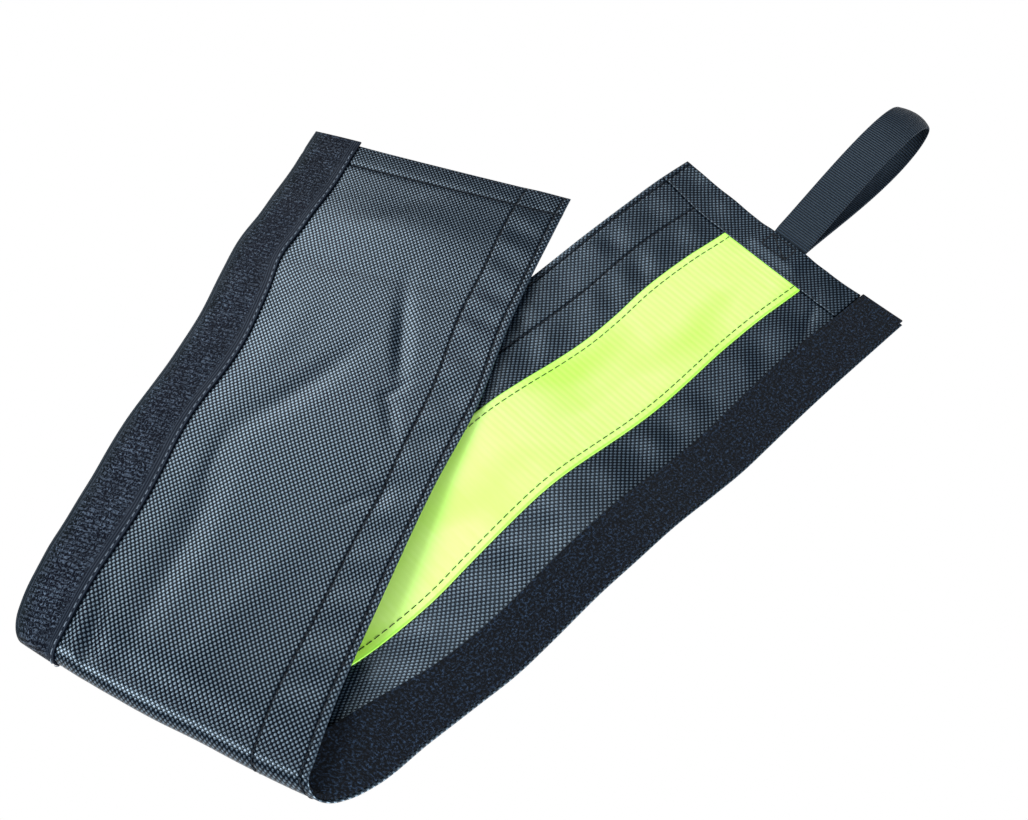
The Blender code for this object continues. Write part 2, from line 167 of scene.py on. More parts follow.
# Patterns of the materials: spacing, or size along and across the strip
WEAVE_S = 0.00137
WEAVE_U = 0.00108
WEAVE_SKEW = 0.12
SLUB_SIZE = (0.01667, 0.0025)
WEAR_SIZE = (0.04545, 0.04545)
EDGE_GROOVE = 0.0004
SEAM_GROOVE = 0.0011
HEM_GROOVE = 0.0014
GROOVE_DEPTH = 7.0
HOOK_ROW_PITCH = 0.0023
CURL_SIZE = 0.001923
HOOK_SIZE = (0.001111, 0.000909)
SWAY_SIZE = (0.01667, 0.0050)
PATCH_SIZE = (0.00909, 0.00667)
EDGE_YARN_PITCH = 0.0011
FUZZ_SIZE = 0.001176
MAT_SIZE = (0.004545, 0.003846)
BAND_YARN_PITCH = 0.00073
BAND_RIB_PITCH = 0.0029
BAND_STREAK_SIZE = (0.003333, 0.025)
BAND_CLOUD_SIZE = (0.0625, 0.03333)
WEBBING_RIB_PITCH = 0.00125
WEBBING_GRAIN_SIZE = (0.001111, 0.001429)
THREAD_TWIST = 0.001111

# Kinds of shader node that the materials use most
MATH = "ShaderNodeMath"
VECTOR = "ShaderNodeVectorMath"
NOISE = "ShaderNodeTexNoise"
RAMP = "ShaderNodeMapRange"
MIX = "ShaderNodeMix"
BUMP = "ShaderNodeBump"

# Floor, light and camera; the camera was fitted to the photograph
FLOOR_REACH = 3.0
WORLD_STRENGTH = 0.12
CAMERA_TARGET = np.array([0.00016, 0.00743, 0.0])
CAMERA_DISTANCE = 0.745
CAMERA_ELEVATION = 53.1
CAMERA_LENS = 58.4
CAMERA_SENSOR = 36.0


def smooth(x):
    """Smooth step from 0 to 1 as x goes from 0 to 1."""
    x = np.clip(x, 0, 1)
    return x * x * (3 - 2 * x)


def bump(x, height, place, spread):
    """Round bump of a height at a place, falling away over a spread."""
    return height * np.exp(-((x - place) / spread) ** 2)


def heading(angle):
    """Plan direction at an angle in degrees from +X."""
    turn = math.radians(angle)
    return np.array([math.cos(turn), math.sin(turn), 0])


FOLD_OUT = heading(FOLD_HEADING)
FOLD_ALONG = heading(FOLD_HEADING + 90)
LOWER_DIRECTION = heading(FOLD_HEADING - FOLD_SKEW)
LOWER_ACROSS = heading(FOLD_HEADING - FOLD_SKEW + 90)
UPPER_ACROSS = heading(FOLD_HEADING + FOLD_SKEW + 90)
UP = np.array([0, 0, 1])
SKEW_COS = math.cos(math.radians(FOLD_SKEW))
SKEW_SIN = math.sin(math.radians(FOLD_SKEW))


def lower_height(s, u):
    """Height of the lower arm: level, one low wave, and a tilt near the free end that lifts the hook edge."""
    side = (u - HALF_WIDTH) / HALF_WIDTH
    tilt = 1 - smooth((s - TILT_START) / TILT_RUN)
    return LOWER_HEIGHT + bump(s, *LOWER_WAVE) - LOWER_TILT * side * tilt


def upper_height(s, u):
    """Height of the upper arm: a climb from its free end that levels off over the lower arm, and a tilt."""
    from_end = SLEEVE_LENGTH - s
    side = (u - HALF_WIDTH) / HALF_WIDTH
    climb = 1 - np.exp(-np.maximum(from_end, 0) / UPPER_CLIMB)
    tilt = 1 - smooth((from_end - TILT_START) / TILT_RUN)
    return UPPER_END_HEIGHT + (UPPER_HEIGHT - UPPER_END_HEIGHT) * climb + UPPER_TILT * side * tilt


def fold_distance(s, u):
    """Distance past the line where the bend starts, square to the fold."""
    return (s - FOLD_PLACE) * SKEW_COS + (u - HALF_WIDTH) * SKEW_SIN


def place_at(distance, u):
    """The place s along the strip that lies at a distance past the bend's start line."""
    return FOLD_PLACE + (distance - (u - HALF_WIDTH) * SKEW_SIN) / SKEW_COS


# How far lines drawn on the strip stray sideways from straight, in mm: rows of u, columns of s
LOWER_STRAY_S = np.array([0, 20, 46, 76, 96, 116, 136, 156, 186, 211, 236, 256, 276, 301, 331, 360]) / 1000
LOWER_STRAY_U = np.array([0, 42.5, 91.5, 115, 140]) / 1000
LOWER_STRAY = np.array([
    [0.0, -0.7, -0.1, 0.5, 0.9, 0.8, 0.1, -0.5, -1.1, -0.9, -0.3, 0.1, 0.1, -0.1, 0.8, 5.5],
    [2.7, 2.9, 1.2, 1.1, 2.6, 2.8, 1.1, -1.2, -3.2, -2.8, -1.4, 0.6, 1.2, 1.6, 1.0, 0],
    [1.6, 1.8, 1.0, 1.3, 2.2, 2.6, 1.7, 0.0, -2.4, -2.5, -1.2, 1.3, 3.4, 5.2, 3.0, 0],
    [0.6, 0.8, 0.3, 1.3, 2.5, 3.2, 2.7, 1.3, 0.5, 0.1, 1.1, 1.8, 2.2, 0.8, 0.3, 0],
    [-0.7, 0.0, 0.8, 1.8, 2.5, 2.9, 2.0, 1.0, 0.8, -0.1, 0.4, 1.4, 1.8, 3.6, 7.6, 5.0],
]) / 1000
UPPER_STRAY_S = np.array([372, 392, 405, 430, 455, 480, 500, 520, 542, 567, 592, 612, 635, 662, 700]) / 1000
UPPER_STRAY_U = np.array([0, 25, 117, 140]) / 1000
UPPER_STRAY = np.array([
    [6.0, 7.6, 4.2, 1.8, 1.6, 1.1, 0.7, 1.6, 1.2, 1.2, 0.9, 0.1, 2.0, 3.1, 1.9],
    [-2.5, 1.0, 1.4, 1.4, 2.9, 2.6, 1.0, 0.8, 2.0, 1.9, 1.0, -1.4, 0.8, 2.6, 1.6],
    [-0.4, -0.8, -1.0, -0.4, 0.6, 1.2, 1.6, 1.0, 0.0, -0.9, -1.0, -1.0, -1.0, -1.4, -0.9],
    [0, -0.6, -1.0, -1.2, -1.2, -1.3, -1.4, -1.6, -1.6, -1.2, -1.0, -1.0, -1.0, -0.7, -0.7],
]) / 1000
STRAY_CHANGE = 0.340
STRAY_CHANGE_RUN = 0.030


def cubic(x, places, values):
    """Smooth curve through values at places, with the slope of its neighbours at each."""
    x = np.clip(x, places[0], places[-1])
    cell = np.clip(np.searchsorted(places, x, side="right") - 1, 0, len(places) - 2)
    run = places[cell + 1] - places[cell]
    t = (x - places[cell]) / run
    slope = np.gradient(values, places)
    return (
        (2 * t ** 3 - 3 * t ** 2 + 1) * values[cell]
        + (t ** 3 - 2 * t ** 2 + t) * run * slope[cell]
        + (3 * t ** 2 - 2 * t ** 3) * values[cell + 1]
        + (t ** 3 - t ** 2) * run * slope[cell + 1]
    )


def table_value(s, u, places, rows, table):
    """Value of a table at s and u: a cubic along s in each row, straight between rows."""
    curves = np.stack([cubic(s, places, row) for row in table])
    weight = [np.clip(np.interp(u, rows, np.eye(len(rows))[i]), 0, 1) for i in range(len(rows))]
    return sum(weight[i] * curves[i] for i in range(len(rows)))


def stray(s, u):
    """Sideways shift of every line on the strip, so that bands and seams run slightly wavy."""
    lower = table_value(s, u, LOWER_STRAY_S, LOWER_STRAY_U, LOWER_STRAY)
    upper = table_value(s, u, UPPER_STRAY_S, UPPER_STRAY_U, UPPER_STRAY)
    share = smooth((s - STRAY_CHANGE) / STRAY_CHANGE_RUN)
    return lower * (1 - share) + upper * share


# Creases and swells of the cloth: s, u, half length, half width (m), turn (degrees), height (mm)
# Heights are positive on face one
SWELLS = [
    # upper arm, where face two is on top, so a hollow is positive
    (0.452, 0.0495, 0.044, 0.0065, -4, 1.5),
    (0.493, 0.0430, 0.014, 0.0025, -3, 0.5),
    (0.542, 0.0610, 0.030, 0.0060, 27, 1.0),
    (0.583, 0.0950, 0.026, 0.0038, -15, 1.3),
    (0.541, 0.1040, 0.014, 0.0024, -32, 0.9),
    (0.553, 0.1005, 0.007, 0.0020, 35, 0.5),
    (0.501, 0.1180, 0.006, 0.0045, 0, 0.8),
    (0.493, 0.1080, 0.008, 0.0016, 48, 0.4),
    (0.509, 0.1080, 0.008, 0.0016, -48, 0.4),
    (0.407, 0.0355, 0.015, 0.0028, -16, 1.3),
    (0.402, 0.0305, 0.012, 0.0026, -16, -0.9),
    (0.664, 0.0600, 0.024, 0.0080, 48, 0.7),
    (0.430, 0.0850, 0.040, 0.0090, 12, -0.5),
    (0.560, 0.0400, 0.030, 0.0080, 10, -0.4),
    (0.648, 0.0680, 0.055, 0.0170, 88, -1.7),
    (0.6165, 0.0700, 0.048, 0.0045, 86, 0.4),
    (0.704, 0.0700, 0.090, 0.0130, 90, 0.9),
    (0.3874, 0.0700, 0.120, 0.0100, -76, 2.0),
    # lower arm, face one on top
    (0.030, 0.1075, 0.012, 0.0016, 28, -0.6),
    (0.072, 0.1060, 0.012, 0.0030, 40, 0.3),
]
# Places along each seam where the cloth lies lowest, or rises highest, in mm
HOOK_EDGE_DIPS = np.array([-4, 23, 52, 77, 121, 145, 170, 200, 230, 260, 290, 320, 350]) / 1000
HOOK_INNER_DIPS = np.array([6, 30, 56, 79, 99, 132, 155, 180, 210, 240, 270, 300, 330, 360]) / 1000
LOOP_INNER_DIPS = np.array([0, 34, 62, 101, 125, 150, 179, 207, 232, 258, 288, 320, 350]) / 1000
UPPER_SIDE_RISES = np.array(
    [370, 395, 420, 445, 468, 492, 520, 545, 572, 598, 615, 634, 655, 675, 700]) / 1000
UPPER_TAPE_RISES = np.array([370, 410, 432, 455, 484, 520, 552, 590, 622, 650, 700]) / 1000
# Rows of puckers: height (mm), range of u, lean (s per u) from a u, bow (m), places
LOWER_PUCKERS = [
    (0.55, 0.002, 0.0225, 0.10, 0.012, 0.0, HOOK_EDGE_DIPS),
    (0.55, 0.0215, 0.0435, -0.20, 0.033, 0.0, HOOK_INNER_DIPS),
    (-0.70, 0.0905, 0.116, 0.0, 0.0, 0.003, LOOP_INNER_DIPS),
]
UPPER_PUCKERS = [
    (-0.34, 0.112, 0.139, 0.0, 0.0, 0.0, UPPER_SIDE_RISES),
    (-0.30, -0.012, 0.038, 0.30, 0.0, 0.0, UPPER_TAPE_RISES),
]
PUCKER_BOW_PLACE = 0.104
PUCKER_BOW_WIDTH = 0.0065
UNEVEN_WAVES = (0.019, 0.0073)
FAR_SEAM_SINK = 0.30
FAR_SEAM_SINK_WIDTH = 0.0018


def swells(s, u):
    """Sum of round swells and creases, each an elongated bump turned on the strip."""
    total = np.zeros(np.broadcast_shapes(s.shape, u.shape))
    for s0, u0, long, wide, turn, height in SWELLS:
        c, d = math.cos(math.radians(turn)), math.sin(math.radians(turn))
        x = (s - s0) * c + (u - u0) * d
        y = -(s - s0) * d + (u - u0) * c
        total = total + height / 1000 * np.exp(-(x / long) ** 2 - (y / wide) ** 2)
    return total


def between(u, low, high):
    """Arch of height 1 between two lines of the strip, and 0 outside them."""
    t = np.clip((u - low) / (high - low), 0, 1)
    return np.sin(math.pi * t) ** 2


def wave(s, places):
    """Cosine wave that is 1 at each of the places."""
    return np.cos(2 * math.pi * np.interp(s, places, np.arange(len(places))))


def pucker_row(s, u, height, low, high, lean, lean_place, bow, places):
    """One row of ripples: a wave along s, leaning or bowed with u, under an arch across u."""
    along = s + lean * (u - lean_place) + bow * np.cos((u - PUCKER_BOW_PLACE) / PUCKER_BOW_WIDTH)
    return height * between(u, low, high) * wave(along, places)


def puckers(s, u):
    """Small ripples square to the seams, where the sewing has drawn the cloth up.

    Rows of ripples are added up on each arm and fade towards the cross fold. On the
    lower arm the product of two slow sines makes them uneven. The far hem's seam sinks in.
    """
    near = 1 - smooth((s - 0.320) / 0.040)
    far = smooth((s - 0.385) / 0.020)
    slow, quick = UNEVEN_WAVES
    uneven = 0.62 + 0.38 * np.sin(s / slow + 1.0) * np.sin(s / quick + 2.0)
    lower = sum(pucker_row(s, u, *row) for row in LOWER_PUCKERS) * uneven
    sunk = FAR_SEAM_SINK * np.exp(-((s - FAR_HEM_SEAM) / FAR_SEAM_SINK_WIDTH) ** 2)
    upper = sum(pucker_row(s, u, *row) for row in UPPER_PUCKERS) + sunk
    return (near * lower + far * upper) / 1000


# How far the cross fold is pushed outwards, in mm, at places across the strip
FOLD_PUSH_U = np.array([-5, 25, 70, 90, 110, 130, 145]) / 1000
FOLD_PUSH = np.array([3.5, 3.9, 1.5, -0.8, -2.6, -5.0, -7.4]) / 1000
FOLD_PUSH_REACH = 0.042


def cloth_sheet(s, u):
    """Middle surface of the cloth in space.

    Square to the fold the strip runs flat, goes round a half circle of the fold
    radius, and runs back flat; along the fold it keeps its place. Heights and
    bows of the two arms are mixed by how far round the half circle a point is.
    """
    s, u = np.broadcast_arrays(np.asarray(s, float), np.asarray(u, float))
    u = u + stray(s, u)
    distance = fold_distance(s, u)
    along = -(s - FOLD_PLACE) * SKEW_SIN + (u - HALF_WIDTH) * SKEW_COS
    angle = np.clip(distance / BEND_LENGTH, 0, 1) * math.pi
    out = np.minimum(distance, 0) + FOLD_RADIUS * np.sin(angle) - np.maximum(distance - BEND_LENGTH, 0)
    share = (1 - np.cos(angle)) / 2
    height = (1 - share) * lower_height(s, u) + share * upper_height(s, u)
    lower_bow = (1 - share) * (bump(s, *LOWER_BOW_NEAR) + bump(s, *LOWER_BOW_FAR))
    upper_bow = share * bump(SLEEVE_LENGTH - s, *UPPER_BOW)
    side = (u - HALF_WIDTH) / HALF_WIDTH
    drawn = END_DRAW * (1 - side ** 2) * (1 - smooth(s / END_DRAW_RUN))
    push = cubic(along + HALF_WIDTH, FOLD_PUSH_U, FOLD_PUSH)
    out = out + push * np.exp(-((distance - BEND_LENGTH / 2) / FOLD_PUSH_REACH) ** 2)
    return (
        np.array([*FOLD_CENTRE, 0])
        + out[..., None] * FOLD_OUT
        + along[..., None] * FOLD_ALONG
        + lower_bow[..., None] * LOWER_ACROSS
        + upper_bow[..., None] * UPPER_ACROSS
        + drawn[..., None] * LOWER_DIRECTION
        + height[..., None] * UP
    )


def normal_of(surface, s, u, step=0.0002):
    """Unit normal of a surface given by a function of s and u, out of face one."""
    along = surface(s + step, u) - surface(s - step, u)
    across = surface(s, u + step) - surface(s, u - step)
    normal = np.cross(along, across)
    return normal / np.linalg.norm(normal, axis=-1, keepdims=True)


def rippled(s, u):
    """The cloth's middle surface with its swells, creases and puckers."""
    s, u = np.broadcast_arrays(np.asarray(s, float), np.asarray(u, float))
    lift = swells(s, u) + puckers(s, u)
    return cloth_sheet(s, u) + lift[..., None] * normal_of(cloth_sheet, s, u)


def on_strip(s, u, offset):
    """Point at an offset from the middle of the rippled cloth, positive on face one."""
    s, u, offset = np.broadcast_arrays(*(np.asarray(value, float) for value in (s, u, offset)))
    return rippled(s, u) + offset[..., None] * normal_of(rippled, s, u)


# Zones of the strip that move apart: each arm's middle, its two closing sides and their gussets, and the fold
HOOK_BEND = 0.0415
LOOP_BEND = 0.0925
HOOK_BEND_RUN = 0.0155
LOOP_BEND_RUN = 0.0215
GUSSET_START = {
    ("lower", "hook"): 0.258,
    ("lower", "loop"): 0.245,
    ("upper", "hook"): 0.485,
    ("upper", "loop"): 0.492,
}
FOLD_MARGIN = 0.001
NEAR_FOLD = 0.36
ZONE_MARGIN = 0.010
CLOTH_CUT = 0.7008
CLOTH_CUT_SKEW = 0.0028
ZONES = {}
ROWS = {}
PIECES = []


def fold_start(u):
    """Where the cross fold's stretch begins."""
    return place_at(-FOLD_MARGIN, u + stray(np.full_like(u, NEAR_FOLD), u))


def fold_end(u):
    """Where the cross fold's stretch ends."""
    return place_at(BEND_LENGTH + FOLD_MARGIN, u)


def joint_line(name):
    """A point on a joint's axis and the axis's direction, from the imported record."""
    joint = next(j for j in frame["joints"] if j["name"] == name)
    axis = np.array(joint["axis"], float)
    return np.array(joint["pos_m"], float), axis / np.linalg.norm(axis)


class Bend:
    """Change from one body to another between two parallel planes: 0 before start, 1 past end."""

    def __init__(self, start, direction, run):
        """A point on the first plane, the direction square to both, and the distance between them."""
        self.start = np.array(start, float)
        self.direction = np.array(direction, float) / np.linalg.norm(direction)
        self.run = run

    def share(self, points):
        """How far points lie from the first plane, as a share of the distance to the second."""
        return (points - self.start) @ self.direction / self.run

    def ends(self):
        """A point on each plane."""
        return tuple(self.start), tuple(self.start + self.run * self.direction)


def side_bends(arm, side):
    """The closing bend of one side of an arm, and the longer bend of its gusset.

    The closing bend runs square to the joint's line, from the outermost place of the
    line where the side begins to turn. The gusset's bend starts on the line from the
    end of the closing bend to the corner of the cross fold, so that both are at rest
    there, and reaches its full turn at the edge of the cloth.
    """
    if side == "hook":
        u0, run, edge = HOOK_BEND, HOOK_BEND_RUN, 0.0
    else:
        u0, run, edge = LOOP_BEND, LOOP_BEND_RUN, SLEEVE_WIDTH
    s0 = GUSSET_START[arm, side]
    axis = joint_line(arm + "_" + side + "_side_closing")[1]
    across = LOWER_ACROSS if arm == "lower" else UPPER_ACROSS
    outward = np.cross(axis, UP)
    outward = outward * np.sign(outward @ across * (edge - u0))
    s_all = np.linspace(0, s0, 60) if arm == "lower" else np.linspace(s0, SLEEVE_LENGTH, 60)
    reach = (rippled(s_all, np.full(60, u0)) @ outward).max()
    closing = Bend(outward * reach, outward, run)
    corner = cloth_sheet(fold_start(np.array(edge)) if arm == "lower" else fold_end(np.array(edge)), edge)
    first = rippled(np.array(s0), np.array(u0))
    first = first + outward * (reach - first @ outward)
    line = corner - first
    line[2] = 0
    square = np.cross(line, UP)
    square = square * np.sign(square @ across * (edge - u0))
    square = square / np.linalg.norm(square)
    far = rippled(np.array(s0), np.array(edge))
    gusset = Bend(first, square, float((far - first) @ square))
    return closing, gusset


def meeting(arm, side, bends):
    """Function giving, for each u, the place s where the closing bend and the gusset's bend agree.

    It is found on a grid, as the last place from the arm's free end before the two
    bends' shares part. Where the closing bend is over, it stays as at its end.
    """
    closing, gusset = bends
    s0 = GUSSET_START[arm, side]
    inwards = 1 if arm == "lower" else -1
    places = np.linspace(s0 - inwards * 0.11, s0 + inwards * 0.02, 400)
    u_all = np.linspace(0, HOOK_BEND, 84) if side == "hook" else np.linspace(LOOP_BEND, SLEEVE_WIDTH, 84)
    grid = rippled(places[:, None], u_all[None, :])
    apart = np.clip(closing.share(grid), 0, 1) - np.clip(gusset.share(grid), 0, 1)
    behind = apart > 1e-4
    found = places[np.clip(behind.argmax(axis=0) - 1, 0, None)]
    found[~behind.any(axis=0)] = s0
    found[0 if side == "loop" else -1] = s0
    full = closing.share(grid).min(axis=0) >= 1
    inner = np.where(full)[0]
    if len(inner):
        edge_one = inner[-1] if side == "hook" else inner[0]
        found[full] = found[edge_one]
    return lambda u: np.interp(u, u_all, found)


def add_zone(name, low, high, start, stop, body, other=None, bend=None):
    """A stretch of the strip: its range of u, its ends as functions of u, and what it follows."""
    ZONES[name] = dict(low=low, high=high, start=start, stop=stop, body=body, other=other, bend=bend)


def constant(value):
    """Function of u with one value."""
    return lambda u: np.full_like(np.asarray(u, float), value)


CLOTH_ENDS = (constant(0.0), lambda u: CLOTH_CUT - CLOTH_CUT_SKEW * u / SLEEVE_WIDTH)


def make_zones():
    """The middle, sides and gussets of both arms, and the cross fold.

    A side's rows along s are the middle's, cut where its gusset begins, so that
    neighbours share their rows.
    """
    for arm in ("lower", "upper"):
        body = arm + "_arm"
        near_end = constant(-ZONE_MARGIN if arm == "lower" else SLEEVE_LENGTH + ZONE_MARGIN)
        cloth_end = CLOTH_ENDS[0 if arm == "lower" else 1]
        fold = fold_start if arm == "lower" else fold_end
        add_zone(arm + "_middle", HOOK_BEND, LOOP_BEND, near_end, fold, body)
        run = float(abs(fold(np.array(HOOK_BEND)) - cloth_end(np.array(HOOK_BEND))))
        rows = steps_between(0, run, CLOTH_STEP, True, False) / run
        ROWS[arm + "_middle"] = rows
        for side in ("hook", "loop"):
            u0 = np.array(HOOK_BEND if side == "hook" else LOOP_BEND)
            places = cloth_end(u0) + (fold(u0) - cloth_end(u0)) * rows
            cut = int(np.abs(places - GUSSET_START[arm, side]).argmin())
            GUSSET_START[arm, side] = float(places[cut])
            ROWS[arm + "_" + side + "_side"] = rows[:cut + 1] / rows[cut]
            ROWS[arm + "_" + side + "_gusset"] = (rows[cut:] - rows[cut]) / (1 - rows[cut])
            if side == "hook":
                low, high = -ZONE_MARGIN, HOOK_BEND
            else:
                low, high = LOOP_BEND, SLEEVE_WIDTH + ZONE_MARGIN
            bends = side_bends(arm, side)
            meet = meeting(arm, side, bends)
            flap = arm + "_" + side + "_flap"
            add_zone(arm + "_" + side + "_side", low, high, near_end, meet, body, flap, bends[0])
            add_zone(arm + "_" + side + "_gusset", low, high, meet, fold, body, flap, bends[1])
    middle = np.array([*FOLD_CENTRE, LOWER_HEIGHT])
    turn = Bend(middle, UP, 2 * FOLD_RADIUS)
    ROWS["fold"] = np.linspace(0, 1, 22)
    low, high = -ZONE_MARGIN, SLEEVE_WIDTH + ZONE_MARGIN
    add_zone("fold", low, high, fold_start, fold_end, "lower_arm", "upper_arm", turn)


def follow(piece, zone):
    """Attach a piece to its zone's body where the zone follows one body; where the zone bends between two,
    only bake its transform.
    """
    z = ZONES[zone]
    if z["bend"] is None:
        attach(piece, z["body"])
    else:
        start, end = z["bend"].ends()
        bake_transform(piece)


def make_mesh(name, points, faces, material, uv=None, normals=None):
    """Object from vertices and faces, with the strip's s and u as its UV in metres."""
    mesh = bpy.data.meshes.new(name)
    mesh.from_pydata(points.tolist(), [], faces.tolist())
    mesh.materials.append(material)
    mesh.shade_smooth()
    if uv is not None:
        layer = mesh.uv_layers.new(name="UVMap")
        loops = np.empty(len(mesh.loops), np.int32)
        mesh.loops.foreach_get("vertex_index", loops)
        layer.data.foreach_set("uv", uv[loops].astype(np.float32).ravel())
    if normals is not None:
        mesh.normals_split_custom_set_from_vertices(normals.tolist())
    piece = bpy.data.objects.new(name, mesh)
    bpy.context.scene.collection.objects.link(piece)
    return piece


def steps_between(low, high, step, round_low, round_high, edge=EDGE_ROUND):
    """Places from low to high about a step apart, closer where an edge is rounded."""
    bends = [b for b in (HOOK_BEND, LOOP_BEND) if low < b < high and high <= SLEEVE_WIDTH]
    breaks = [low] + bends + [high]
    places = []
    for first, last in zip(breaks[:-1], breaks[1:]):
        count = max(2, int(math.ceil((last - first) / step)))
        places += list(np.linspace(first, last, count + 1))
    near = [0.10, 0.35, 1.0]
    if round_low:
        places += [low + edge * n for n in near]
    if round_high:
        places += [high - edge * n for n in near]
    return np.unique(np.round(np.clip(places, low, high), 7))


def roundness(distance, edge):
    """Share of the full thickness at a distance from a rounded edge: a quarter circle."""
    t = np.clip(distance / edge, 0, 1)
    return np.sqrt(np.clip(1 - (1 - t) ** 2, 0, 1))


def covered(zone, low, high, start, stop, step, edge, shared_rows):
    """The stretch of a zone that a layer covers, as a grid of s and u, or None where it covers none.

    Rows run from the zone's beginning to its end, cut where the layer begins or ends.
    With the grid come the share of full thickness, less than 1 at the layer's own
    rounded edges, a mask of the points where the layer goes on in the next zone, the
    direction of the rows along s, and the stretch's flat width, length and area.
    """
    z = ZONES[zone]
    u_low, u_high = max(low, z["low"]), min(high, z["high"])
    if u_high - u_low < LEAST_STRETCH:
        return None
    u = steps_between(u_low, u_high, step, low >= z["low"], high <= z["high"], edge)
    first, last = z["start"](u), z["stop"](u)
    sign = np.sign(np.mean(last - first))
    lay_first, lay_last = (start(u), stop(u)) if sign > 0 else (stop(u), start(u))
    begin = np.where(sign * (first - lay_first) > 0, first, lay_first)
    end = np.where(sign * (last - lay_last) < 0, last, lay_last)
    if np.max(sign * (end - begin)) <= LEAST_STRETCH:
        return None
    round_begin, round_end = bool(np.all(begin == lay_first)), bool(np.all(end == lay_last))
    end = np.where(sign * (end - begin) < LEAST_ROW, begin + sign * LEAST_ROW, end)
    run = float(np.max(np.abs(end - begin)))
    share = ROWS[zone] if shared_rows else steps_between(0, run, step, round_begin, round_end, edge) / run
    s = begin[None, :] + (end - begin)[None, :] * share[:, None]
    u_grid = np.broadcast_to(u[None, :], s.shape)
    thin = np.ones(s.shape)
    goes_on = np.zeros(s.shape, bool)
    for own_edge, away, border in (
            (low >= z["low"], u_grid - low, np.s_[:, 0]),
            (high <= z["high"], high - u_grid, np.s_[:, -1]),
            (round_begin, np.abs(s - begin[None, :]), np.s_[0]),
            (round_end, np.abs(end[None, :] - s), np.s_[-1])):
        if own_edge:
            thin = thin * roundness(away, edge)
        else:
            goes_on[border] = True
    goes_on &= thin > 0.999
    cut = np.abs(end - begin)
    area = float(((cut[1:] + cut[:-1]) / 2 * np.diff(u)).sum())
    return s, u_grid, thin, goes_on, sign, (float(u_high - u_low), run, area)


def slab(name, zone, low, high, start, stop, middle, thickness, material, step=CLOTH_STEP,
         edge=EDGE_ROUND, shared_rows=False):
    """Layer of cloth in one zone: both faces and the rounded outer edges, open where zones meet.

    low and high are the layer's range of u, start and stop its ends as functions of u,
    middle its offset from the cloth's middle. Each face lies half the thickness off the
    layer's middle, square to the rippled cloth.
    """
    grid = covered(zone, low, high, start, stop, step, edge, shared_rows)
    if grid is None:
        return None
    s, u, thin, goes_on, sign, flat = grid
    half = thickness / 2 * thin
    middle = middle(s, u) if callable(middle) else middle
    faces = [on_strip(s, u, middle + half), on_strip(s, u, middle - half)]
    points = np.concatenate([face.reshape(-1, 3) for face in faces])
    corner = np.arange(s.size).reshape(s.shape)
    quads = np.stack([corner[:-1, :-1], corner[1:, :-1], corner[1:, 1:], corner[:-1, 1:]], axis=-1)
    quads = quads.reshape(-1, 4)
    if sign < 0:
        quads = quads[:, ::-1]
    quads = np.concatenate([quads, quads[:, ::-1] + s.size])
    normals = np.where(goes_on[..., None], normal_of(rippled, s, u), 0.0).reshape(-1, 3)
    normals = np.concatenate([normals, -normals])
    uv = np.stack([s.ravel(), u.ravel()], axis=-1)
    piece = make_mesh(name, points, quads, material, np.concatenate([uv, uv]), normals)
    PIECES.append((piece, zone))
    piece["wide"], piece["long"], piece["area"] = flat
    return piece


def hex_colour(text):
    """Linear colour from an sRGB hex string."""
    values = [int(text[i:i + 2], 16) / 255 for i in (0, 2, 4)]
    linear = [v / 12.92 if v <= 0.04045 else ((v + 0.055) / 1.055) ** 2.4 for v in values]
    return (*linear, 1.0)


def set_inputs(tree, node, inputs):
    """Set a node's inputs to values, or link them to sockets."""
    for key, value in inputs.items():
        if isinstance(value, bpy.types.NodeSocket):
            tree.links.new(value, node.inputs[key])
        else:
            node.inputs[key].default_value = value


def add_node(tree, kind, inputs=None, output=0, **settings):
    """Add a shader node with its settings and its inputs, and give back one of its outputs."""
    node = tree.nodes.new(kind)
    for key, value in settings.items():
        setattr(node, key, value)
    set_inputs(tree, node, inputs or {})
    return node.outputs[output]


def start_material(name):
    """New material, the function that adds nodes to it, and the strip's UV, s and u as sockets."""
    material = bpy.data.materials.new(name)
    material.use_nodes = True
    add = functools.partial(add_node, material.node_tree)
    uv = add("ShaderNodeUVMap", uv_map="UVMap")
    s = add("ShaderNodeSeparateXYZ", {0: uv})
    return material, add, uv, s, s.node.outputs[1]


def finish_material(material, inputs):
    """Give the material's shader its inputs, and give the material back."""
    set_inputs(material.node_tree, material.node_tree.nodes["Principled BSDF"], inputs)
    return material


def mottle(add, place, along, across, detail=2.0, roughness=0.5):
    """Cloudy pattern from 0 to 1: noise whose blotches are about along by across, in metres."""
    scaled = add(VECTOR, {0: place, 1: (1 / along, 1 / across, 1 / across)}, operation="MULTIPLY")
    return add(NOISE, {"Vector": scaled, "Scale": 1.0, "Detail": detail, "Roughness": roughness})


def ribs(add, coordinate, pitch, shift=0.0):
    """Sine wave from -1 to 1 over a coordinate, one rib to each pitch in metres, shifted by an angle."""
    angle = add(MATH, {0: coordinate, 1: 2 * math.pi / pitch, 2: shift}, operation="MULTIPLY_ADD")
    return add(MATH, {0: angle}, operation="SINE")


def line_mask(add, coordinate, place, half):
    """1 on a line at a place of a coordinate, falling smoothly to 0 at a half width."""
    beside = add(MATH, {0: coordinate, 1: place}, operation="SUBTRACT")
    away = add(MATH, {0: beside}, operation="ABSOLUTE")
    return add(RAMP, {0: away, 2: half, 3: 1.0, 4: 0.0}, interpolation_type="SMOOTHSTEP")


def strongest(add, masks):
    """The largest of some masks at each point."""
    return functools.reduce(lambda a, b: add(MATH, {0: a, 1: b}, operation="MAXIMUM"), masks)


def tinted(add, colour, mask, text, share=1.0):
    """A colour moved towards another, an sRGB hex, by a share of a mask."""
    factor = add(MATH, {0: mask, 1: share}, operation="MULTIPLY")
    return add(MIX, {0: factor, 6: colour, 7: hex_colour(text)}, 2, data_type="RGBA")


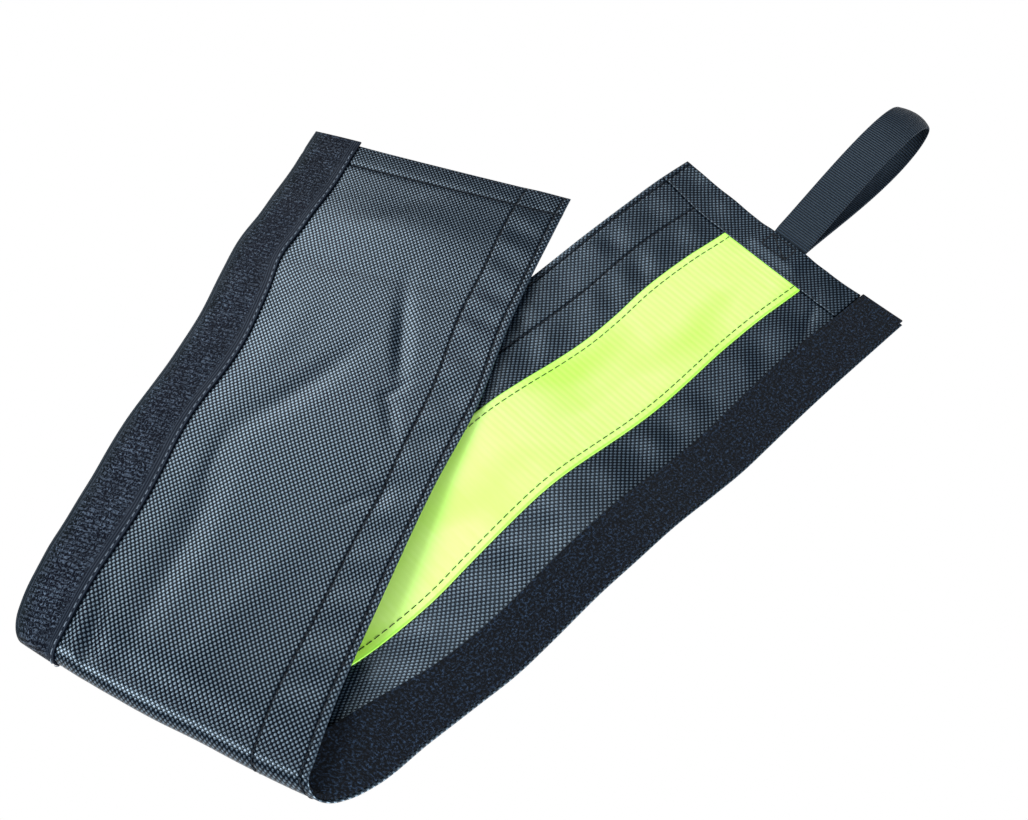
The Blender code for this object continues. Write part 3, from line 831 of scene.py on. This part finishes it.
def seam_wander(add, s, u):
    """The coordinate u with the seams' slow wander and the jog of every stitch taken off."""
    slowly = add(MATH, {0: ribs(add, s, WANDER_PITCH), 1: -WANDER, 2: u}, operation="MULTIPLY_ADD")
    return add(MATH, {0: ribs(add, s, STITCH_PITCH), 1: -STITCH_JOG, 2: slowly}, operation="MULTIPLY_ADD")


def cloth_material(name, seams, on_near_hem=False):
    """Charcoal synthetic cloth in a coarse plain weave, with a glossy yarn.

    To the eye it is a fine checker of small bright floats between dark ones, a little
    off square, that glints where light glances. The floats are bright partly by real
    gloss and partly by painted sheen: they are given a lighter colour than the dark
    yarn, which stands in for the light that one set of yarns catches. The grooves that
    the seams sink into it are dull, and painted shade darkens them. One float is
    WEAVE_S by WEAVE_U.
    """
    material, add, uv, s, u = start_material(name)
    slub = mottle(add, uv, *SLUB_SIZE)
    drift = add(MATH, {0: slub, 1: 0.8, 2: -0.4}, operation="MULTIPLY_ADD")
    skewed = add(MATH, {0: u, 1: WEAVE_SKEW, 2: s}, operation="MULTIPLY_ADD")
    across, along = ribs(add, u, 2 * WEAVE_U, drift), ribs(add, skewed, 2 * WEAVE_S)
    weave = add(MATH, {0: across, 1: along}, operation="MULTIPLY")
    floats = add(RAMP, {0: weave, 2: 0.55})
    domes = add(MATH, {0: add(MATH, {0: weave}, operation="ABSOLUTE"), 1: 0.6}, operation="POWER")
    # Broad mottle that makes the floats' painted sheen fainter in patches
    wear = add(RAMP, {0: mottle(add, uv, *WEAR_SIZE, detail=3.0), 1: 0.3, 2: 0.7, 3: 0.75, 4: 1.0})
    painted_sheen = add(MATH, {0: floats, 1: wear}, operation="MULTIPLY")
    wandering = seam_wander(add, s, u)
    # Painted shade: the seams' grooves, the hook-side edge and the hem's edge are darkened in colour below;
    # the same mask also dulls the gloss and sinks the bump
    grooves = [line_mask(add, u, 0.0, EDGE_GROOVE)]
    if on_near_hem:
        turned_edge = add(
            RAMP, {0: u, 2: HEM_EDGE_RUN, 3: HEM_EDGE, 4: HEM_EDGE + HEM_EDGE_DRIFT},
            interpolation_type="SMOOTHSTEP")
        before_edge = add(MATH, {0: s, 1: turned_edge}, operation="SUBTRACT")
        grooves.append(line_mask(add, before_edge, 0.0001, SEAM_GROOVE))
    else:
        grooves.append(line_mask(add, s, FAR_HEM_SEAM, HEM_GROOVE))
    grooves += [line_mask(add, wandering, place, SEAM_GROOVE) for place in seams]
    groove = strongest(add, grooves)
    # Pale rim along both long edges: partly the selvage's own paler colour and partly a painted highlight
    # where the edge catches light
    rim = strongest(add, [line_mask(add, u, SLEEVE_WIDTH, 0.0014), line_mask(add, u, 0.0, 0.0012)])
    # Painted sheen: the floats' lighter colour stands in for the light caught by one set of yarns
    colour = tinted(add, hex_colour("050a12"), painted_sheen, "2b3b4b")
    # Painted shade in the seams' grooves, along the hook-side edge and at the hem's edge
    colour = tinted(add, colour, groove, "05070b", 0.75)
    colour = tinted(add, colour, rim, "3c4a58", 0.3)
    dark_gloss = add(RAMP, {0: s, 1: 0.33, 2: 0.40, 3: 0.15, 4: 0.04})
    gloss = strongest(add, [floats, dark_gloss])
    dulled = add(RAMP, {0: groove, 3: 1.0, 4: 0.1})
    height = add(MATH, {0: groove, 1: -GROOVE_DEPTH, 2: domes}, operation="MULTIPLY_ADD")
    return finish_material(material, {
        "Base Color": colour,
        "Roughness": add(RAMP, {0: floats, 3: 0.24, 4: 0.38}),
        "Specular IOR Level": add(MATH, {0: gloss, 1: dulled}, operation="MULTIPLY"),
        "Specular Tint": hex_colour("cde7fb"),
        "IOR": 2.0,
        "Normal": add(BUMP, {"Height": height, "Distance": 0.000045, "Strength": 1.0}),
    })


def hook_tape_material():
    """Black nylon hook tape, woven with small cut hooks.

    To the eye it is a dark tangle of curls and dots that glint, in faint rows across
    the tape, between plain woven edges. The glints are painted: the hooks and the
    edges' ribs are given a lighter colour that stands in for the light they catch, and
    this painted glint, with the hooks' gloss and relief, is weaker in patches and fades
    towards the plain end.
    A curl is where noise passes its middle value. The hooks are drawn about twice as
    coarse as real ones, so that they show.
    """
    material, add, uv, s, u = start_material("black_hook_tape")
    wander = mottle(add, uv, CURL_SIZE, CURL_SIZE, detail=1.0)
    beside = add(MATH, {0: wander, 1: 0.5}, operation="SUBTRACT")
    curls = add(RAMP, {0: add(MATH, {0: beside}, operation="ABSOLUTE"), 2: 0.06, 3: 0.8, 4: 0.0})
    dots = add(RAMP, {0: mottle(add, uv, *HOOK_SIZE, detail=1.0), 1: 0.52, 2: 0.66})
    sway = add(MATH, {0: mottle(add, uv, *SWAY_SIZE, detail=1.0), 1: 7.0}, operation="MULTIPLY")
    order = add(RAMP, {0: ribs(add, s, HOOK_ROW_PITCH, sway), 1: -0.9, 2: -0.2, 3: 0.15, 4: 1.0})
    patch = add(RAMP, {0: mottle(add, uv, *PATCH_SIZE, detail=3.0), 1: 0.35, 2: 0.65, 3: 0.40, 4: 0.9})
    # The hooks' painted glint, gloss and relief fade towards the plain end
    far_end = add(RAMP, {0: s, 1: 0.42, 2: 0.62, 3: 1.0, 4: 0.7})
    tangle = add(MATH, {0: strongest(add, [curls, dots]), 1: order}, operation="MULTIPLY")
    glint_fading = add(MATH, {0: patch, 1: far_end}, operation="MULTIPLY")
    tangle = add(MATH, {0: tangle, 1: glint_fading}, operation="MULTIPLY")
    inner_edge = add(RAMP, {0: u, 1: 0.0195, 2: 0.0215})
    outer_edge = add(RAMP, {0: u, 1: 0.0010, 2: 0.0030, 3: 1.0, 4: 0.0})
    woven = add(RAMP, {0: ribs(add, u, EDGE_YARN_PITCH), 1: -1.0, 3: 0.02, 4: 0.20})
    glint = add(MIX, {0: strongest(add, [inner_edge, outer_edge]), 2: tangle, 3: woven})
    colour = tinted(add, hex_colour("080e0e"), add(RAMP, {0: u, 1: 0.001, 2: 0.007}), "060811")
    return finish_material(material, {
        # Painted glint: the hooks and the edges' ribs are given a lighter colour
        "Base Color": tinted(add, colour, glint, "46566a"),
        "Roughness": 0.45,
        "Specular IOR Level": add(RAMP, {0: glint, 3: 0.05, 4: 0.8}),
        "Specular Tint": hex_colour("cfe4ff"),
        "Normal": add(BUMP, {"Height": glint, "Distance": 0.00025, "Strength": 1.0}),
    })


def loop_tape_material():
    """Black nylon loop tape, brushed to a nap: matted fuzz, dull, with faint bluish specks."""
    material, add, uv = start_material("black_napped_loop_tape")[:3]
    fuzz = mottle(add, uv, FUZZ_SIZE, FUZZ_SIZE, detail=4.0, roughness=0.75)
    mats = mottle(add, uv, *MAT_SIZE, detail=3.0)
    tips = add(RAMP, {0: fuzz, 1: 0.50, 2: 0.68})
    specks = add(MATH, {0: tips, 1: add(RAMP, {0: mats, 1: 0.35, 2: 0.6, 3: 0.5})}, operation="MULTIPLY")
    height = add(MATH, {0: fuzz, 1: mats}, operation="ADD")
    return finish_material(material, {
        "Base Color": tinted(add, hex_colour("05090f"), specks, "30445e"),
        "Roughness": 0.9,
        "Specular IOR Level": 0.10,
        "Sheen Weight": 0.05,
        "Normal": add(BUMP, {"Height": height, "Distance": 0.0006, "Strength": 1.0}),
    })


def band_material():
    """Lime synthetic wear band, tightly woven with cross ribs: bright, slightly glossy, faintly cloudy with
    painted shade.
    """
    material, add, uv, s, u = start_material("lime_wear_band")
    fine, broad = ribs(add, s, BAND_YARN_PITCH), ribs(add, s, BAND_RIB_PITCH)
    shade = mottle(add, uv, *BAND_STREAK_SIZE)
    tone = add(MATH, {0: broad, 1: 0.04, 2: shade}, operation="MULTIPLY_ADD")
    colour = tinted(add, hex_colour("c6f974"), add(RAMP, {0: tone, 1: 0.2, 2: 0.9}), "cdfc86")
    # Painted shade: cloudy patches of deeper, more saturated green, standing in for the sheen that the band's
    # waves lose
    cloud = add(RAMP, {0: mottle(add, uv, *BAND_CLOUD_SIZE, detail=1.0), 1: 0.45, 2: 0.70, 4: 0.9})
    colour = tinted(add, colour, cloud, "b0f04e")
    # Deeper green lines along the band's edges, and a painted shadow across its start where it runs under the
    # hem's edge
    rims = [line_mask(add, u, place, 0.0009) for place in (BAND_EDGE, BAND_EDGE + BAND_WIDTH)]
    rim = strongest(add, rims + [line_mask(add, s, 0.0192, 0.0022)])
    height = add(MATH, {0: fine, 1: 0.15, 2: broad}, operation="MULTIPLY_ADD")
    return finish_material(material, {
        "Base Color": tinted(add, colour, rim, "8ae02c", 0.8),
        "Roughness": 0.42,
        "Specular IOR Level": 0.8,
        "Normal": add(BUMP, {"Height": height, "Distance": 0.000035, "Strength": 1.0}),
    })


def webbing_material():
    """Dark nylon webbing woven with cross ribs: fine painted bars of light on the ribs' tops over a grainy
    dark ground.
    """
    material, add, uv, s = start_material("dark_ribbed_webbing")[:4]
    bars = ribs(add, s, WEBBING_RIB_PITCH)
    grain = add(MATH, {0: mottle(add, uv, *WEBBING_GRAIN_SIZE), 1: 0.6}, operation="MULTIPLY")
    # Painted highlight: the ribs' tops are given a lighter colour, as if lit
    tone = add(MATH, {0: bars, 1: 0.75, 2: grain}, operation="MULTIPLY_ADD")
    return finish_material(material, {
        "Base Color": tinted(add, hex_colour("030508"), add(RAMP, {0: tone, 1: -0.20, 2: 0.95}), "243140"),
        "Roughness": 0.45,
        "Specular IOR Level": 0.35,
        "Specular Tint": hex_colour("d6edff"),
        "Normal": add(BUMP, {"Height": bars, "Distance": 0.00016, "Strength": 1.0}),
    })


def thread_material(name, dark, light):
    """Twisted polyester sewing thread: dull, mottled from a dark to a light tone by its twist."""
    material, add = start_material(name)[:2]
    place = add("ShaderNodeTexCoord", output="Object")
    twist = mottle(add, place, THREAD_TWIST, THREAD_TWIST)
    return finish_material(material, {
        "Base Color": tinted(add, hex_colour(dark), twist, light),
        "Roughness": 0.75,
        "Specular IOR Level": 0.25,
        "Sheen Weight": 0.05,
    })


def zone_of(s, u):
    """Name of the zone that holds each point."""
    names = np.full(np.shape(s), "", dtype=object)
    for name, z in ZONES.items():
        first, last = z["start"](u), z["stop"](u)
        low, high = np.minimum(first, last), np.maximum(first, last)
        within = (u >= z["low"]) & (u < z["high"]) & (s >= low) & (s < high)
        names[within & (names == "")] = name
    return names


def stitches(name, path_s, path_u, offset, material, pitch=STITCH_PITCH, share=0.72, radius=STITCH_RADIUS):
    """Row of stitches along a path on the strip, each a short bent tube that dips in at its needle holes.

    A stitch covers a share of the pitch. Its middle line rises over the layer's face as
    a flattened half sine, and its rings grow quickly from their ends to the radius.
    """
    path = np.stack([np.asarray(path_s, float), np.asarray(path_u, float)], axis=-1)
    gone = np.concatenate([[0], np.cumsum(np.linalg.norm(np.diff(path, axis=0), axis=1))])
    starts = (np.arange(int(gone[-1] // pitch)) + 0.5 * (1 - share)) * pitch
    rings = np.linspace(0, 1, STITCH_RINGS)
    along = starts[:, None] + rings[None, :] * pitch * share
    s = np.interp(along, gone, path[:, 0])
    u = np.interp(along, gone, path[:, 1])
    offset = offset(s, u) if callable(offset) else np.full(s.shape, float(offset))
    side = 1 if offset.flat[0] > 0 else -1
    arch = np.sin(math.pi * rings) ** 0.6
    lift = (radius * 1.2 + NEEDLE_SINK) * arch - NEEDLE_SINK - radius * 0.4
    centre = on_strip(s, u, offset + side * lift[None, :])
    run = np.gradient(centre, axis=1)
    run = run / np.linalg.norm(run, axis=-1, keepdims=True)
    normal = side * normal_of(rippled, s, u)
    across = np.cross(run, normal)
    across = across / np.linalg.norm(across, axis=-1, keepdims=True)
    normal = np.cross(across, run)
    turn = (np.arange(STITCH_SIDES) * 2 * math.pi / STITCH_SIDES)[None, None, :, None]
    wide = radius * np.clip(np.sin(math.pi * rings) * 3, 0.15, 1)[None, :, None, None]
    ring = np.cos(turn) * across[:, :, None, :] + 0.8 * np.sin(turn) * normal[:, :, None, :]
    points = centre[:, :, None, :] + wide * ring
    names = zone_of(s[:, STITCH_RINGS // 2], u[:, STITCH_RINGS // 2])
    for zone in sorted(set(names) - {""}):
        group = points[names == zone]
        index = np.arange(group[..., 0].size).reshape(group.shape[:3])
        beside = np.roll(index, -1, axis=2)
        quads = np.stack([index[:, :-1], beside[:, :-1], beside[:, 1:], index[:, 1:]], axis=-1)
        piece = make_mesh(name + "_" + zone, group.reshape(-1, 3), quads.reshape(-1, 4), material)
        PIECES.append((piece, zone))


make_zones()

CLOTH = cloth_material("charcoal_plain_weave", SEAM_LINES)
HEM_CLOTH = cloth_material("charcoal_hem_cloth", (HOOK_EDGE_SEAM,), on_near_hem=True)
HOOK = hook_tape_material()
NAP = loop_tape_material()
BAND = band_material()
WEBBING = webbing_material()
DARK_THREAD = thread_material("dark_sewing_thread", "090d13", "1c2530")
# The grey thread's pale colour is partly a painted highlight: it stands in for the light line along the hook
# tape's raised inner selvage
PALE_HIGHLIGHT_THREAD = thread_material("grey_thread_with_painted_highlight", "3a4654", "7c8b9b")
BOX_THREAD = thread_material("black_bartack_thread", "05070a", "141a22")
GREEN_THREAD = thread_material("green_sewing_thread", "0e2204", "274a0c")

layers = {}


def build_layer(layer, low, high, ends, middle, thickness, material, slot, **options):
    """One layer of the sleeve in all its zones."""
    for zone in ZONES:
        name = "sleeve_" + layer + "_" + zone
        piece = slab(name, zone, low, high, *ends, middle, thickness, material, **options)
        if piece is not None:
            layers[layer, zone] = piece


def hook_tape_middle(s, u):
    """Offset of the hook tape's middle, pressed into the cloth round the cross fold."""
    pressed = np.exp(-((s - FOLD_PLACE - BEND_LENGTH / 2) / HOOK_TAPE_PRESS_REACH) ** 2)
    return -(CLOTH_FACE + HOOK_TAPE_LIFT) + HOOK_TAPE_LIFT * pressed


def hem_edge(u):
    """Place of the near hem's sewn-down edge, a smooth step from the hook side to the rest."""
    return HEM_EDGE + HEM_EDGE_DRIFT * smooth(u / HEM_EDGE_RUN)


def hem_over_webbing(s, u):
    """Offset of the near hem's middle, raised where the webbing's ends lie under it."""
    beside = smooth((WEBBING_WIDTH / 2 + HEM_RAMP - np.abs(u - WEBBING_CENTRE)) / HEM_RAMP)
    before = smooth((WEBBING_TAIL + HEM_RAMP - s) / HEM_RAMP)
    return CLOTH_FACE + HEM_LIFT + HEM_RISE * beside * before


build_layer("cloth", 0.0, SLEEVE_WIDTH, CLOTH_ENDS, 0.0, CLOTH_THICKNESS, CLOTH, "cloth", shared_rows=True)
build_layer(
    "hook_tape", -HOOK_TAPE_OVERHANG, TAPE_WIDTH, [constant(s) for s in HOOK_TAPE_ENDS],
    hook_tape_middle, HOOK_TAPE_THICKNESS, HOOK, "hook_tape", step=TAPE_STEP)
build_layer(
    "loop_tape", SLEEVE_WIDTH - TAPE_WIDTH, SLEEVE_WIDTH - LOOP_TAPE_INSET,
    [constant(s) for s in LOOP_TAPE_ENDS],
    CLOTH_FACE + LOOP_TAPE_LIFT, LOOP_TAPE_THICKNESS, NAP, "loop_tape", step=TAPE_STEP)
build_layer(
    "band", BAND_EDGE, BAND_EDGE + BAND_WIDTH + BAND_SPARE, [constant(s) for s in BAND_ENDS],
    CLOTH_FACE + BAND_LIFT, BAND_THICKNESS, BAND, "band", edge=BAND_EDGE_ROUND)
build_layer(
    "near_hem", HEM_INSET, SLEEVE_WIDTH - TAPE_WIDTH - HEM_INSET, (constant(NEAR_HEM_START), hem_edge),
    hem_over_webbing, HEM_THICKNESS, HEM_CLOTH, "cloth", step=HEM_STEP)
build_layer(
    "far_hem", HEM_INSET, SLEEVE_WIDTH - TAPE_WIDTH - HEM_INSET,
    (constant(SLEEVE_LENGTH - HEM_WIDTH), CLOTH_ENDS[1]),
    CLOTH_FACE + HEM_LIFT, HEM_THICKNESS, CLOTH, "cloth")

# Seams along the strip: place across it, offset, thread; "one" and "two" name the cloth's faces
LONG_SEAMS = {
    "seam_hook_edge_one": (HOOK_EDGE_SEAM, CLOTH_FACE, DARK_THREAD),
    "seam_hook_inner_one": (HOOK_INNER_SEAM, CLOTH_FACE, DARK_THREAD),
    "seam_hook_inner_two": (HOOK_TAPE_SEAM, -(CLOTH_FACE + HOOK_TAPE_THICKNESS), PALE_HIGHLIGHT_THREAD),
    "seam_loop_inner_two": (LOOP_INNER_SEAM, -CLOTH_FACE, DARK_THREAD),
    "seam_loop_outer_two": (LOOP_OUTER_SEAM, -CLOTH_FACE, DARK_THREAD),
}
along_strip = np.linspace(0.002, 0.698, 1200)
for name, (place, offset, thread) in LONG_SEAMS.items():
    stitches(name, along_strip, np.full_like(along_strip, place), offset, thread)
along_band = np.linspace(0.020, 0.680, 1200)
BAND_SEAMS = {
    "seam_band_hook_side": BAND_EDGE + 0.0035,
    "seam_band_loop_side": BAND_EDGE + BAND_WIDTH - 0.0030,
}
for name, place in BAND_SEAMS.items():
    stitches(
        name, along_band, np.full_like(along_band, place), CLOTH_FACE + BAND_LIFT + BAND_THICKNESS / 2,
        GREEN_THREAD, share=0.90)
across_near = np.linspace(0.002, 0.114, 300)
stitches(
    "seam_near_hem", hem_edge(across_near) - HEM_SEAM_INSET, across_near, CLOTH_FACE + HEM_THICKNESS,
    DARK_THREAD, share=0.85)
box_turns = np.linspace(0, 5, 400)
box_path = [np.interp(box_turns, np.arange(6), corners) for corners in (BOX_S, BOX_U)]
stitches(
    "seam_webbing_box", *box_path, lambda s, u: hem_over_webbing(s, u) + HEM_THICKNESS / 2,
    BOX_THREAD, pitch=0.0016, share=0.9, radius=0.0003)
across_far = np.linspace(0.002, 0.138, 300)[55:]
for name, place in (("seam_far_hem", FAR_HEM_SEAM), ("seam_far_end", FAR_END_SEAM)):
    stitches(name, np.full_like(across_far, place), across_far, -CLOTH_FACE, DARK_THREAD)


def loop_path(count):
    """Middle line of the attachment loop's webbing, from the upper leg's root round to the lower leg's.

    The distance out from the root is a half cosine and the swell to each side is a sine
    that a power of the half angle's sine sharpens towards the root, which gives a
    teardrop. A slope is added that keeps the whole loop just clear of the floor.
    """
    root = cloth_sheet(np.array(0.0), np.array(WEBBING_CENTRE))
    normal = normal_of(cloth_sheet, np.array(0.0), np.array(WEBBING_CENTRE))
    root = root + (CLOTH_FACE + SEAT_GAP + WEBBING_THICKNESS) * normal
    veer = math.radians(LOOP_VEER)
    out = -math.cos(veer) * LOWER_DIRECTION - math.sin(veer) * LOWER_ACROSS
    turn = np.linspace(0, 2 * math.pi, count)
    distance = LOOP_LENGTH * (1 - np.cos(turn)) / 2
    shape = np.sin(turn) * np.sin(turn / 2) ** LOOP_ROUNDNESS
    swell = LOOP_SWELL / 2 * shape / shape.max()
    leg = (WEBBING_THICKNESS + SEAT_GAP) / 2
    legs = leg * np.where(turn < math.pi, 1, -1) * np.abs(np.cos(turn / 2))
    rise = LOOP_FLOOR_CLEARANCE + WEBBING_THICKNESS / 2 - root[2] - swell - legs
    slope = (rise[1:-1] / distance[1:-1]).max()
    height = slope * distance + swell + legs
    return root + (LOOP_ROOM + distance)[:, None] * out + height[:, None] * UP, root, out


def build_webbing_loop():
    """Webbing ribbon round the loop and on into the hem, with rounded selvages.

    The ribbon is a flat profile across the webbing carried along the loop's path, with
    its thickness square to the path. Its middle bows outwards near the loop's tip.
    """
    path, root, out = loop_path(LOOP_ROWS)
    leg = (WEBBING_THICKNESS + SEAT_GAP) / 2 * UP
    into = np.linspace(WEBBING_TAIL, 0.0, TAIL_ROWS, endpoint=False)
    beyond = (path - root) @ out - LOOP_ROOM
    upper_in = root + into[:, None] * LOWER_DIRECTION + leg
    lower_in = root + into[::-1, None] * LOWER_DIRECTION - leg
    inside_hem = np.concatenate([into, -beyond, into[::-1]])
    pressed = LEG_PRESS * smooth((inside_hem + 0.004) / 0.006)
    pressed[len(pressed) // 2 + 1:] = 0
    path = np.concatenate([upper_in, path, lower_in]) - pressed[:, None] * UP
    run = np.gradient(path, axis=0)
    run = run / np.linalg.norm(run, axis=1, keepdims=True)
    normal = np.cross(LOWER_ACROSS, run)
    normal = normal / np.linalg.norm(normal, axis=1, keepdims=True)
    gone = np.concatenate([[0], np.cumsum(np.linalg.norm(np.diff(path, axis=0), axis=1))])
    half = WEBBING_WIDTH / 2
    side = np.concatenate([[-1, -0.985, -0.95], np.linspace(-0.9, 0.9, 13), [0.95, 0.985, 1]]) * half
    thick = WEBBING_THICKNESS / 2 * roundness(half - np.abs(side), SELVAGE_ROUND)
    thick[[0, -1]] = SELVAGE_EDGE
    around = np.clip(np.concatenate([np.zeros(TAIL_ROWS), beyond, np.zeros(TAIL_ROWS)]) / LOOP_LENGTH, 0, 1)
    bulge = LOOP_TIP_BOW * around[:, None] ** 6 * (1 - (side / half)[None, :] ** 2)
    middle = path[:, None] + bulge[..., None] * out + side[None, :, None] * LOWER_ACROSS
    up = thick[None, :, None] * normal[:, None]
    loop = np.concatenate([middle + up, (middle - up)[:, ::-1]], axis=1)
    index = np.arange(loop[..., 0].size).reshape(loop.shape[:2])
    beside = np.roll(index, -1, axis=1)
    quads = np.stack([index[:-1], beside[:-1], beside[1:], index[1:]], axis=-1).reshape(-1, 4)
    uv_side = np.concatenate([side, side[::-1]])
    uv = np.stack(np.broadcast_arrays(gone[:, None], uv_side[None, :]), axis=-1).reshape(-1, 2)
    piece = make_mesh("sleeve_attachment_loop", loop.reshape(-1, 3), quads, WEBBING, uv)
    return piece, out


loop_piece, loop_out = build_webbing_loop()
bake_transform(loop_piece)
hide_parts("attachment_loop", "attachment_loop_tail")

for piece, zone in PIECES:
    follow(piece, zone)

CLOTH_NODES = {
    "lower_middle": "lower_cloth_middle",
    "lower_hook_side": "lower_cloth_hook_side",
    "lower_loop_side": "lower_cloth_loop_side",
    "lower_hook_gusset": "lower_gusset_hook_side",
    "lower_loop_gusset": "lower_gusset_loop_side",
    "upper_middle": "upper_cloth_middle",
    "upper_hook_side": "upper_cloth_hook_side",
    "upper_loop_side": "upper_cloth_loop_side",
    "upper_hook_gusset": "upper_gusset_hook_side",
    "upper_loop_gusset": "upper_gusset_loop_side",
    "fold": "fold_cloth",
}
for zone, node in CLOTH_NODES.items():
    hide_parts(node)
for side in ("hook", "loop"):
    tape = side + "_tape"
    for arm in ("lower", "upper"):
        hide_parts(arm + "_" + tape)
        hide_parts(arm + "_" + tape + "_gusset")
    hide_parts("fold_" + tape)
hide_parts("lower_band")
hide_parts("upper_band")
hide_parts("fold_band")
for arm, hem in (("lower", "near_hem"), ("upper", "far_hem")):
    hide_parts(arm + "_hem_middle")
    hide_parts(arm + "_hem_hook_side")
    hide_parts(arm + "_hem_loop_side")

for zone in CLOTH_NODES:
    piece = layers["cloth", zone]


def floor_material():
    """Matt white studio paper: plain white to the camera, soft white to the light."""
    material = bpy.data.materials.new("white_studio_floor")
    material.use_nodes = True
    tree = material.node_tree
    tree.nodes.remove(tree.nodes["Principled BSDF"])
    paper = add_node(tree, "ShaderNodeBsdfDiffuse", {0: hex_colour("e7e7e7")})
    plain = add_node(tree, "ShaderNodeEmission", {0: hex_colour("ffffff"), 1: 1.0})
    to_camera = add_node(tree, "ShaderNodeLightPath", output="Is Camera Ray")
    blend = add_node(tree, "ShaderNodeMixShader", {0: to_camera, 1: paper, 2: plain})
    tree.links.new(blend, tree.nodes["Material Output"].inputs["Surface"])
    return material


def build_floor():
    """Broad floor under the sleeve."""
    mesh = bpy.data.meshes.new("floor")
    corners = [(x * FLOOR_REACH, y * FLOOR_REACH, 0) for x, y in ((-1, -1), (1, -1), (1, 1), (-1, 1))]
    mesh.from_pydata(corners, [], [(0, 1, 2, 3)])
    mesh.materials.append(floor_material())
    floor = bpy.data.objects.new("floor", mesh)
    bpy.context.scene.collection.objects.link(floor)


build_floor()

# Softboxes that face the origin: place, width, height, power in watts
SOFTBOXES = {
    "softbox_behind": ((-0.52, 0.97, 0.86), 0.85, 0.77, 9.8),
    "softbox_left": ((-0.94, -0.19, 1.02), 0.80, 0.80, 15.0),
    "softbox_front": ((0.63, -1.10, 0.59), 1.00, 1.00, 28.0),
    "softbox_above": ((0.06, 0.42, 1.30), 0.50, 0.50, 1.4),
    "softbox_right": ((0.14, 0.84, 1.14), 0.35, 0.35, 0.4),
}
for name, (place, width, height, power) in SOFTBOXES.items():
    light = bpy.data.lights.new(name, "AREA")
    light.shape = "RECTANGLE"
    light.size, light.size_y, light.energy = width, height, power
    lamp = bpy.data.objects.new(name, light)
    lamp.location = place
    lamp.rotation_euler = (-Vector(place)).to_track_quat("-Z", "Y").to_euler()
    bpy.context.scene.collection.objects.link(lamp)

world = bpy.data.worlds.new("studio")
world.use_nodes = True
bpy.context.scene.world = world
set_inputs(world.node_tree, world.node_tree.nodes["Background"], {0: hex_colour("ffffff"), 1: WORLD_STRENGTH})

tip = math.radians(CAMERA_ELEVATION)
camera_data = bpy.data.cameras.new("camera")
camera_data.lens = CAMERA_LENS
camera_data.sensor_width = CAMERA_SENSOR
camera_data.sensor_fit = "HORIZONTAL"
camera_data.clip_start = 0.01
camera = bpy.data.objects.new("camera", camera_data)
camera.location = CAMERA_TARGET + CAMERA_DISTANCE * np.array([0, -math.cos(tip), math.sin(tip)])
camera.rotation_euler = (math.pi / 2 - tip, 0, 0)
bpy.context.scene.collection.objects.link(camera)
bpy.context.scene.camera = camera
bpy.context.scene.view_settings.view_transform = "Standard"
